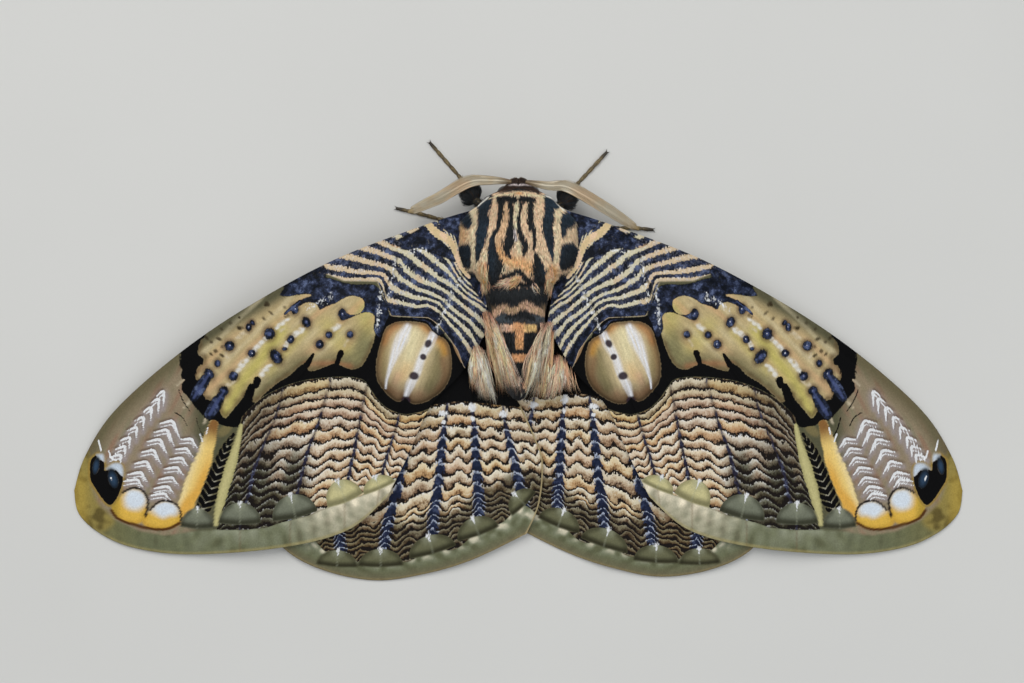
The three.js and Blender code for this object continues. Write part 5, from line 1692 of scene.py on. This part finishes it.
def tuftPatches(spots, perBlade):
    # each tuft is one small patch of the unwrap at its root
    steps = np.arange(perBlade)
    around = np.where(steps == perBlade - 1, 1, steps % 3) / 2
    along = steps // 3 / max((perBlade - 1) // 3, 1)
    local = np.column_stack([around, along]) * furPlan["patch"]
    return (spots[:, None, :] + local[None]).reshape(-1, 2)


def finishTufts(name, blades, colour, spots, material):
    # colour holds one row per blade and step
    points, quads, triangles, perBlade = blades
    ringOf = np.minimum(np.arange(perBlade) // 3, colour.shape[1] - 1)
    # a colour over full strength keeps its hue
    colour = colour / np.maximum(colour.max(axis=2, keepdims=True), 1) ** furPlan["overlight"]
    mesh = makeMesh(name, points, quads, triangles)
    giveField(mesh, "coatColour", np.clip(colour[:, ringOf].reshape(-1, 3), 0, 1))
    giveUnwrap(mesh, tuftPatches(spots, perBlade))
    placePiece(name, mesh, material, "fur")
    print(name, "has", len(colour), "tufts and", len(quads) * 2 + len(triangles), "triangles")


def growFur(name, roots, normals, lie, uv, length, width, lift, dice, colourAt=None):
    # tapered tufts that lean along the body and curve back to it
    count = len(roots)
    lie = lie - (lie * normals).sum(1)[:, None] * normals
    lie /= np.maximum(np.linalg.norm(lie, axis=1), 1e-6)[:, None]
    side = np.cross(normals, lie)
    s = np.linspace(0, 1, 4)[None, :, None]
    bend = dice.normal(0, 0.10, count)[:, None, None]
    reach = length[:, None, None]
    rise = (lift * length)[:, None, None]
    path = (roots[:, None] + lie[:, None] * (s * reach) + normals[:, None]
            * (rise * s * (1 - 0.5 * s) - 0.05)
            + side[:, None] * (bend * s * s * reach))
    widths = width[:, None] * np.array([0.75, 1, 0.72, 0])[None]
    across, up = (np.repeat(rail[:, None], 4, axis=1) for rail in (side, normals))
    blades = bladeMesh(path, across, up, widths, 0.9)
    wobble = dice.uniform(-1, 1, count)
    if colourAt is None:
        flat = (path[:, :1] * 0.5 + path * 0.5).reshape(-1, 3)
        colour = coatColours(flat[:, 0], flat[:, 1], flat[:, 2], np.repeat(wobble, 4)).reshape(count, 4, 3)
    else:
        colour = colourAt(path, wobble)
    bright = furPlan["light"] * (1 + 0.16 * dice.uniform(-1, 1, count))[:, None, None]
    # painted shade: each tuft darker at its root, deep in the coat, and brighter at its tip
    depthShade = np.linspace(0.78, 1.08, 4)[None, :, None]
    finishTufts(name, blades, colour * bright * depthShade, uv, furMaterial)


def furLie(places):
    # direction of the coat: backwards, spreading to the sides, forwards over the face
    x, y, z = places.T
    turn = furPlan["swirl"] * softNoise(x, y, 3.2, 61)
    forward = ease(26.3, 27.2, y)
    fan = 0.75 * np.sign(x) * ease(6.2, 8.6, np.abs(x)) * ease(13, 16, y)
    return np.column_stack([(0.035 * x + 0.55 * turn + fan) * (1 - forward) + 0.4 * np.sign(x) * forward,
                            -1 + 1.6 * forward, -0.22 * ease(8.5, 5.5, z) - 0.25 * forward])


def makeCoat(name, count, where, lengthAt, width, lift, seed):
    dice = np.random.default_rng(seed)
    a, b, c, d = (skinPoints[skinQuads[:, k]] for k in range(4))
    chance = np.linalg.norm(np.cross(c - a, d - b), axis=1) * where(*((a + b + c + d) / 4).T)
    chosen = dice.choice(len(skinQuads), count, p=chance / chance.sum())
    s, t = dice.random((2, count, 1))
    shares = [(1 - s) * (1 - t), s * (1 - t), s * t, (1 - s) * t]
    corners = skinQuads[chosen]
    roots = sum(w * skinPoints[corners[:, k]] for k, w in enumerate(shares))
    wrapped = skinSpots[corners]
    overSeam = np.ptp(wrapped[:, :, 0], axis=1)[:, None] > 0.5
    wrapped[:, :, 0] += np.where(overSeam, (wrapped[:, :, 0] < 0.5) * mapWide, 0)
    uv = sum(w * wrapped[:, k] for k, w in enumerate(shares))
    normals = meshNormals(skinPoints, skinQuads)[corners].mean(1)
    normals /= np.linalg.norm(normals, axis=1)[:, None]
    length = lengthAt(*roots.T) * dice.uniform(0.7, 1.25, count)
    widths = width * dice.uniform(0.7, 1.3, count) * 1.0
    lifts = lift * dice.uniform(0.6, 1.35, count)
    growFur(name, roots, normals, furLie(roots), uv, length, widths, lifts, dice)


def backLength(x, y, z):
    waist = ease(13.5, 11.5, y) * ease(9, 10.5, y)
    velvet = furPlan["velvet"] * (1 + 0.7 * ease(5.5, 8, np.abs(x)) + 0.3 * waist)
    return velvet * (1 - 0.35 * ease(25.4, 26.2, y)) * (1 - 0.2 * ease(10, 8, y))


# pieces of the coat: tufts, where they grow, their length, width, lift and seed
for coatRow in (
        ("furBack", 11500, lambda x, y, z: (z > 6) * (y < 26.4) * (y > 18.6), backLength, 0.062, 0.26, 71),
        ("furBackRear", 10500, lambda x, y, z: (z > 6) * (y <= 18.6) * (y > 10.6), backLength,
         0.062, 0.26, 72),
        ("furTail", 9000, lambda x, y, z: (z > 5.6) * (y <= 10.6), backLength, 0.062, 0.26, 73),
        ("furBelly", 6500, lambda x, y, z: 1.0 * (z <= 6) * (y < 26), lambda x, y, z: 0 * x + 1.3,
         0.11, 0.32, 74),
        ("furFace", 5200, lambda x, y, z: 1.0 * (y >= 26), lambda x, y, z: 0 * x + 0.7, 0.045, 0.35, 75)):
    makeCoat(*coatRow)

# long hair in locks: root line, tip line, locks, hairs in each, colours across, rise over the ground
hairPlan = {"seed": 91, "steps": 8, "width": 0.034, "tint": (1.22, 0.98, 1.03)}
hairBundles = {
    "hairInnerLeft": ([(-5.4, 7.6), (-4.3, 7.4)], [(-2.9, -5.4), (0.5, -4.6)], 80, 26,
        "tan honey peach cream honey peach tan ash", 1.6, 0.5),
    "hairOuterLeft": ([(-6.9, 2.2), (-6.2, 2.9)], [(-7.3, -4.6), (-3.1, -7.2)], 64, 22,
        "tan cream ash pink peach peach cream", 1.2, 0.4),
    "hairInnerRight": ([(3.9, 6.6), (5.3, 6)], [(0.9, -5.2), (4, -6.2)], 80, 26,
        "tan cream peach peach cream peach honey", 1.6, 0.5),
    "hairOuterRight": ([(5.9, 0.9), (7, 0.2)], [(3.9, -6.2), (8.1, -4.6)], 60, 22,
        "pink peach cream honey peach ash tan", 1.2, 0.4),
    "hairLooseRight": ([(7, -0.4), (8, -0.8)], [(7.7, -4.6), (9.8, -6)], 8, 4, "ash tan", 1, 0.3),
    "hairGoldLeft": ([(-5.5, 15.6), (-5.1, 15.4)], [(-5.1, 10.4), (-4.8, 10)], 12, 12, "tan honey tan", 0,
        0.5),
    "hairGoldRight": ([(4.6, 15), (5.4, 15)], [(4.3, 9.8), (4.9, 10.2)], 18, 12, "honey tan tan", 0, 0.5),
    "hairRump": ([(-1.7, 12.3), (0.6, 13.1)], [(-4.2, 11.6), (-1.6, 10.6)], 26, 10, "peach pink orange", 0,
        0.35),
    "hairStrands": ([(1.9, 12.1), (2.3, 11.9)], [(3.2, 9.4), (4, 9.3)], 4, 3, "ash tan", 0, 0.1),
    "hairTail": ([(-0.4, -2.6), (0.9, -2.6)], [(-0.2, -5.9), (0.9, -5.8)], 14, 16, "black pink tan black",
        0, 0.3),
}


def restHeight(x, y):
    # top of the body or of the wing under a place
    rows = skinLine[np.argsort(skinLine[:, 0])]
    wide, top, level = (np.interp(y, rows[:, 0], rows[:, k]) for k in (1, 2, 3))
    arched = np.sqrt(np.clip(1 - (x / wide) ** 2, 0, 1)) ** 0.92
    body = np.where(np.abs(x) < wide, level + (top - level) * arched, 0)
    return np.maximum(body, domeHeight(x, y) + wingPlan["layerStep"])


def makeHair(name, startLine, endLine, locks, perLock, colours, rise, stagger, seed):
    dice = np.random.default_rng(seed)
    start, end = np.array(startLine, float), np.array(endLine, float)
    rank = (np.arange(locks) + dice.uniform(0, 1, locks)) / locks
    rank = dice.permutation(rank)
    depth = dice.random(locks)
    lockRoot = start[0] + rank[:, None] * (start[1] - start[0]) + dice.normal(0, 0.12, (locks, 2))
    lockTip = end[0] + rank[:, None] * (end[1] - end[0]) + dice.normal(0, 0.3, (locks, 2))
    lockRoot = lockRoot + (lockTip - lockRoot) * stagger * dice.random(locks)[:, None]
    lockTip = lockRoot + (lockTip - lockRoot) * dice.uniform(0.6, 1.05, locks)[:, None]
    bow = dice.normal(0, 0.06, locks) * np.linalg.norm(lockTip - lockRoot, axis=1)
    which = np.repeat(np.arange(locks), perLock)
    count = len(which)
    root = lockRoot[which] + dice.normal(0, 0.2, (count, 2))
    tip = lockTip[which] + dice.normal(0, 0.2, (count, 2))
    tip = root + (tip - root) * dice.uniform(0.72, 1.06, count)[:, None]
    s = np.linspace(0, 1, hairPlan["steps"])[None, :]
    flow = tip - root
    square = np.column_stack([-flow[:, 1], flow[:, 0]]) / np.linalg.norm(flow, axis=1)[:, None]
    sway = (bow[which] + dice.normal(0, 0.1, count))[:, None] * np.sin(np.pi * s)
    splay = dice.normal(0, 0.3, count)[:, None] * np.clip(s - 0.5, 0, 1) ** 1.5 * 2
    px = root[:, :1] + flow[:, :1] * s + square[:, :1] * (sway + splay)
    py = root[:, 1:] + flow[:, 1:] * s + square[:, 1:] * (sway + splay)
    layer = (depth[which] * 0.8 + dice.random(count) * 0.2)[:, None]
    arch = np.sin(np.pi * np.clip(s * 0.75 + 0.2, 0, 1)) ** 0.8
    lifted = (0.25 + (0.5 + rise) * (0.3 + 0.9 * layer)) * arch
    pz = restHeight(px, py) + lifted - 0.5 * ease(0.2, 0, s)
    path = np.stack([px, py, pz], axis=2)
    path[:, 1:-1] = (path[:, :-2] + 2 * path[:, 1:-1] + path[:, 2:]) / 4
    ahead = np.gradient(path, axis=1)
    ahead /= np.linalg.norm(ahead, axis=2)[:, :, None]
    across = np.cross((0, 0, 1), ahead)
    across /= np.linalg.norm(across, axis=2)[:, :, None]
    width = (hairPlan["width"] * dice.uniform(0.6, 1.35, count))[:, None] * 1.0
    widths = width * (1 - s ** 2.5) * (0.75 + 0.25 * np.sin(np.pi * s))
    blades = bladeMesh(path, across, np.cross(ahead, across), widths, 0.8)
    palette = np.array([coatPaints[key] for key in colours.split()])
    lane = np.clip(rank * len(palette) - 0.5 + dice.normal(0, 0.4, locks), 0, len(palette) - 1)
    tone = palette[np.round(lane).astype(int)] * dice.uniform(0.72, 1.5, locks)[:, None]
    tone = tone[which] * dice.uniform(0.62, 1.4, count)[:, None]
    tone = tone * hairPlan["tint"]
    tone[dice.random(count) < 0.09] = coatPaints["brown"]
    # painted shade: hairs darker at the root and in the lower layers of a lock, lighter on top
    depthShade = (0.66 + 0.56 * ease(0, 0.3, s)) * (0.76 + 1.08 * layer)
    turn = np.arctan2(4, root[:, 0]) / (2 * np.pi)
    back = np.clip((28.3 - root[:, 1]) / 33.9, 0, 0.99)
    spots = np.column_stack([mapX + mapWide * turn, mapY + mapTall * back])
    finishTufts(name, blades, tone[:, None, :] * depthShade[:, :, None], spots, hairMaterial)


for number, (hairName, hairSpec) in enumerate(hairBundles.items()):
    makeHair(hairName, *hairSpec, hairPlan["seed"] + number)

# eyes
eyePlan = {"across": 2.15, "y": 26.1, "z": 4.6, "radius": 1.17, "facet": 0.085, "rows": 40, "around": 56}


def makeEyeMaterial():
    material, wires, shader = startMaterial("eyeShell", Roughness=0.22, Specular_IOR_Level=0.6,
                                            Coat_Weight=0.3)
    cells = wires.cells(wires.place(), eyePlan["facet"], "F1", 0.25)
    # painted shade: each facet lighter in its middle and darker towards its edge, as on a small lit dome
    facetShade = wires.soften(0.1, 0.6, cells.outputs["Distance"])
    colour = wires.mix(facetShade, light(74, 52, 38), light(24, 17, 14))
    wires.feed(shader.inputs["Base Color"], colour)
    addBump(wires, shader, wires.maths("SUBTRACT", 1, cells.outputs["Distance"]), 0.6, 0.00004)
    return material


eyeMaterial = makeEyeMaterial()


def makeEye(side, sign):
    rows, around, radius = eyePlan["rows"], eyePlan["around"], eyePlan["radius"]
    a, b = np.meshgrid(np.linspace(0.06, np.pi - 0.06, rows),
                       np.linspace(0, 2 * np.pi, around, endpoint=False),
                       indexing="ij")
    swell = 1 + 0.012 * np.cos(34 * a) * np.cos(28 * b * np.round(np.sin(a), 1))
    points = np.column_stack([(eyePlan["across"] + np.cos(a) * radius * swell).ravel(),
                              (eyePlan["y"] + np.sin(a) * np.cos(b) * radius * 0.98 * swell).ravel(),
                              (eyePlan["z"] + np.sin(a) * np.sin(b) * radius * swell).ravel()]) * (sign, 1,
                              1)
    points, quads, triangles = closeTube(points, ringQuads(rows, around), around)
    turn = -sign
    mesh = makeMesh("eyeGlobe_" + side, points, quads[:, ::turn], triangles[:, ::turn])
    placePiece("eyeGlobe_" + side, mesh, eyeMaterial, "eye", "eye_" + side)


makeEye("left", -1)
makeEye("right", 1)

# feelers
feelerPlan = {
    "left": [(-1.1, 27.7, 7.2), (-4.2, 27.9, 7.5), (-7.6, 27.7, 7), (-12, 25.5, 5.7), (-17.2, 23.1, 4.2)],
    "right": [(1.1, 27.7, 7.2), (4.4, 27.1, 7.5), (7.6, 26.9, 7), (12.4, 24.4, 5.7), (18.8, 20.4, 4.2)],
    "half": 0.26, "swell": 0.66, "deep": 0.09, "shaft": 0.15, "rami": 150, "ramiWidth": 0.035, "count": 90,
}


def makeFeelerMaterial():
    material, wires, shader = startMaterial("feelerBlade", Roughness=0.48, Specular_IOR_Level=0.35)
    place = wires.place()
    across, along, kind = wires.split(wires.field("feelerPlace", "Vector"))
    mottled = wires.noise(place, 1.6, 3)
    blade = wires.mix(wires.soften(0.35, 0.65, mottled), light(203, 189, 164), light(209, 203, 185))
    knee = wires.maths("MULTIPLY", wires.soften(0.3, 0.42, along), wires.soften(0.62, 0.48, along))
    blade = wires.mix(wires.maths("MULTIPLY", knee, 0.5), blade, light(222, 182, 140))
    blade = wires.mix(wires.soften(0.84, 0.98, across), blade, light(122, 102, 74))
    ridge = wires.maths("MULTIPLY", wires.soften(0.42, 0.5, across), wires.soften(0.62, 0.54, across))
    blade = wires.mix(wires.maths("MULTIPLY", ridge, 0.5), blade, light(156, 134, 100))
    blade = wires.mix(wires.soften(0.14, 0.02, along), blade, light(96, 76, 52))
    blade = wires.mix(wires.soften(0.88, 1, along), blade, light(150, 128, 84))
    blade = wires.mix(wires.maths("MULTIPLY", kind, 0.35), blade, light(186, 168, 134))
    wires.feed(shader.inputs["Base Color"], blade)
    addBump(wires, shader, wires.noise(place, 0.12, 2), 0.3, 0.00004)
    return material


feelerMaterial = makeFeelerMaterial()


def makeFeeler(side):
    # a shaft, a thin blade, and combed branches that sweep towards the tip on each side of it
    plan = feelerPlan
    t = np.linspace(0, 1, plan["count"])
    path = smoothLine(plan[side], plan["count"])
    ahead, across, up = limbFrame(path)
    half = plan["half"] + plan["swell"] * np.maximum(np.sin(np.pi * t), 0) ** 0.7
    half = half * (1 - 0.5 * ease(0.95, 1, t))
    thin = plan["shaft"] * (1.15 - 0.75 * t)
    angle = np.abs(np.cos(np.linspace(0, 2 * np.pi, 20, endpoint=False)))

    def mark(along, edge, kind):
        along, edge = np.broadcast_arrays(along, edge)
        return np.column_stack([edge.ravel(), along.ravel(), np.full(along.size, kind)])

    ends = [(0.5, 0, 0), (0.5, 1, 0)]
    blade = tube(path, across, up, half, np.full(plan["count"], plan["deep"]), 20)
    shaft = tube(path + up * 0.06, across, up, thin, thin, 10)
    parts = [(*blade, 0), (*shaft, 0)]
    marks = [mark(t[:, None], angle[None], 0.0), ends, mark(t[:, None], np.full((1, 10), 0.3), 0.6), ends]
    at = np.linspace(0.03, 0.985, plan["rami"])
    spot, sideways, forward, upward = (np.column_stack([np.interp(at, t, rail[:, k]) for k in range(3)])
                                       for rail in (path, across, ahead, up))
    s = np.linspace(0, 1, 6)
    for sign in (-1, 1):
        reach = np.interp(at, t, half)[:, None, None] * 1.04
        ribs = (spot[:, None] + sign * sideways[:, None] * ((1 - (1 - s) ** 1.7)[None, :, None] * reach)
                + forward[:, None] * ((1.9 * s + 0.5 * s * s)[None, :, None] * reach
                                      * ease(1, 0.86, at)[:, None, None])
                + upward[:, None] * ((0.12 * (1 - s) + 0.03)[None, :, None]))
        widths = plan["ramiWidth"] * (1 - s[None] ** 3) * np.ones((len(at), 1))
        rib = bladeMesh(ribs, np.repeat(sideways[:, None], 6, axis=1), np.repeat(upward[:, None], 6, axis=1),
                        widths, 1.0)
        parts.append((*rib[:3], 0))
        place = np.concatenate([np.repeat(s[:-1], 3), s[-1:]])
        marks.append(mark(at[:, None], place[None], 1.0))
    points, quads, triangles, _ = joinParts(parts)
    mesh = makeMesh("feelerComb_" + side, points, quads, triangles)
    giveField(mesh, "feelerPlace", np.vstack(marks))
    placePiece("feelerComb_" + side, mesh, feelerMaterial, "feeler", "antenna_" + side)


makeFeeler("left")
makeFeeler("right")
print("eyes and feelers made")

# legs
legPlan = {
    "foot": 0.34, "thigh": 0.85, "steps": 80, "around": 14, "claw": 0.55, "spur": 0.8, "fur": 700,
    "knee": 1700,
    "foreKnee": (0.265, 0.37), "kneeHair": 1.25,
}
legPaths = {
    "foreleg_left": [(-2.4, 22.6, 3.6), (-6.3, 24.6, 5.3), (-7.6, 26.4, 3.6), (-8.9, 28.5, .26),
        (-11.4, 31.4, .26), (-14, 34.4, .26)],
    "foreleg_right": [(2.4, 22.6, 3.6), (6.4, 24.2, 5.3), (7.7, 25.7, 3.6), (9.2, 27.7, .26),
        (11.6, 30.3, .26), (14, 32.9, .26)],
    "midleg_left": [(-3, 18.6, 3.2), (-7.4, 20.4, 5), (-10, 21.4, 2.6), (-12.2, 22.2, .26),
        (-15.8, 23.2, .26), (-19.3, 24, .26)],
    "midleg_right": [(3, 18.4, 3.2), (8, 20, 5), (12, 20.5, 2.6), (14.6, 20.8, .26), (18, 20.9, .26),
        (21.3, 20.6, .26)],
    "hindleg_left": [(-3, 15, 3.2), (-8.4, 12.4, 4.6), (-12.4, 8.6, 2.4), (-15, 6, .26), (-17.4, 3.6, .26),
        (-20, 1.2, .26)],
    "hindleg_right": [(3, 15, 3.2), (8.2, 12.2, 4.6), (12, 8.2, 2.4), (14.6, 5.6, .26), (17, 3, .26),
        (19.4, .4, .26)],
}


def blend(t, start, end, first, last):
    return (end - t) / (end - start) * first + (t - start) / (end - start) * last


def evenSpline(points, count):
    # curve with knots spaced by the root of their distance, so that tight bends don't loop
    p = np.array(points, float)
    p = np.vstack([2 * p[0] - p[1], p, 2 * p[-1] - p[-2]])
    rows = []
    for k in range(1, len(p) - 2):
        a, b, c, d = p[k - 1:k + 3]
        ta, tb, tc, td = np.cumsum([0] + [np.linalg.norm(step) ** 0.5 for step in (b - a, c - b, d - c)])
        t = np.linspace(tb, tc, 20, endpoint=False)[:, None]
        near = blend(t, ta, tc, blend(t, ta, tb, a, b), blend(t, tb, tc, b, c))
        far = blend(t, tb, td, blend(t, tb, tc, b, c), blend(t, tc, td, c, d))
        rows.append(blend(t, tb, tc, near, far))
    return evenly(np.vstack(rows + [p[-2:-1]]), count)


def makeLegMaterial():
    material, wires, shader = startMaterial("legShell", Roughness=0.5, Specular_IOR_Level=0.4)
    place = wires.place()
    bark = wires.noise(place, 0.3, 3)
    shell = wires.mix(wires.soften(0.3, 0.7, bark), light(78, 66, 42), light(132, 116, 78))
    shell = wires.mix(wires.field("kind"), shell, light(34, 28, 22))
    wires.feed(shader.inputs["Base Color"], shell)
    rough = wires.maths("ADD", bark, wires.cells(place, 0.14).outputs["Distance"])
    addBump(wires, shader, rough, 0.4, 0.00005)
    return material


legMaterial = makeLegMaterial()


def cone(start, direction, length, radius, bend):
    # a curved spike
    direction = np.array(direction, float) / np.linalg.norm(direction)
    s = np.linspace(0, 1, 6)[:, None]
    path = np.array(start) + direction * s * length + np.array(bend) * s * s * length
    _, across, up = limbFrame(path)
    size = radius * (1 - 0.92 * s[:, 0])
    return tube(path, across, up, size, size, 8)


def makeLeg(name, points, seed):
    plan = legPlan
    path = evenSpline(points, plan["steps"])
    ahead, across, up = limbFrame(path)
    t = np.linspace(0, 1, plan["steps"])
    radius = 0.86 * (plan["thigh"] + (plan["foot"] - plan["thigh"]) * ease(0.12, 0.5, t))
    # narrow waists at the knee and ankle and between the five foot segments
    for joint, cut, wide in (
            (0.30, 0.28, 0.012), (0.53, 0.28, 0.012), (0.66, 0.3, 0.008), (0.75, 0.3, 0.008),
            (0.83, 0.3, 0.008), (0.91, 0.3, 0.008)):
        radius = radius * (1 - cut * np.exp(-((t - joint) / wide) ** 2))
        radius = radius * (1 + 0.1 * np.exp(-((t - joint + 0.03) / 0.02) ** 2))
    radius = radius * (1 - 0.25 * ease(0.94, 1, t))
    flat = np.minimum(radius, 0.26 + 10 * np.maximum(path[:, 2] - 0.26, 0))
    dark = 0.9 * ease(0.9, 0.97, t) + 0.5 * ease(0.5, 0.3, t)
    for joint in (0.66, 0.75, 0.83, 0.91):
        dark = np.maximum(dark, 0.5 * np.exp(-((t - joint) / 0.012) ** 2))
    shade = np.concatenate([np.repeat(dark, plan["around"]), [0.5, 0.9]])
    parts = [(*tube(path, across, up, radius, flat, plan["around"]), shade)]
    tip = path[-1]
    for sign in (-1, 1):
        foot = tip - ahead[-1] * 0.15 + across[-1] * 0.1 * sign
        aim = ahead[-1] + across[-1] * 0.55 * sign + up[-1] * 0.3
        parts.append((*cone(foot, aim, plan["claw"], 0.085, (0, 0, -0.45)), 0.9))
        for spurAt in (0.52, 0.60):
            k = int(spurAt * (plan["steps"] - 1))
            foot = path[k] + across[k] * radius[k] * 0.6 * sign
            aim = ahead[k] + across[k] * 0.5 * sign + up[k] * 0.15
            parts.append((*cone(foot, aim, plan["spur"], 0.09, (0, 0, 0.05)), 0.2))
    place, quads, triangles, kind = joinParts(parts)
    place[:, 2] = np.maximum(place[:, 2], 0.0)
    mesh = makeMesh(name + "_shell", place, quads, triangles)
    giveField(mesh, "kind", kind)
    placePiece(name + "_shell", mesh, legMaterial, "leg", name)
    # dark fur on the upper half, dense round the fore knees, sparse short hair towards the foot
    dice = np.random.default_rng(seed)
    count = plan["fur"] + (plan["knee"] if name.startswith("foreleg") else 0)
    share = np.where(dice.random(count) < 0.8, dice.uniform(0.05, 0.5, count),
                     dice.uniform(0.5, 0.95, count))
    knee = np.arange(count) >= plan["fur"] // 1
    share[knee] = dice.uniform(*plan["foreKnee"], knee.sum())
    k = np.clip((share * (plan["steps"] - 1)).astype(int), 1, plan["steps"] - 2)
    angle = dice.uniform(0, 2 * np.pi, count)
    normals = across[k] * np.cos(angle)[:, None] + up[k] * np.sin(angle)[:, None]
    roots = path[k] + normals * (radius[k] * 0.9)[:, None]
    roots[:, 2] = np.maximum(roots[:, 2], 0.12)
    length = np.where(share < 0.5, 1.1, 0.35) * dice.uniform(0.7, 1.2, count)
    length[knee] = plan["kneeHair"] * dice.uniform(0.7, 1.15, knee.sum())
    width = np.where(share < 0.5, 0.05, 0.022)
    lift = np.where(knee, 2.2, 0.5)
    uv = np.column_stack([angle / (2 * np.pi), share]) * 0.96 + 0.02
    keep = (normals[:, 2] > -0.2) | (roots[:, 2] > 1.2)

    def legColour(places, wobble):
        brown = dice.random(len(places))[:, None] < 0.08
        tone = np.where(brown, coatPaints["brown"] * 0.35, coatPaints["black"])
        paleFoot = ease(0.45, 0.6, share[keep])[:, None]
        tone = tone * (1 - paleFoot) + coatPaints["brown"] * paleFoot
        return np.repeat(tone[:, None], places.shape[1], axis=1)

    growFur(name + "_fur", roots[keep], normals[keep], ahead[k][keep] + 0.1 * normals[keep], uv[keep],
            length[keep], width[keep], lift[keep], dice, legColour)


for number, (legName, legPoints) in enumerate(legPaths.items()):
    makeLeg(legName, legPoints, 140 + number)
print("legs made")
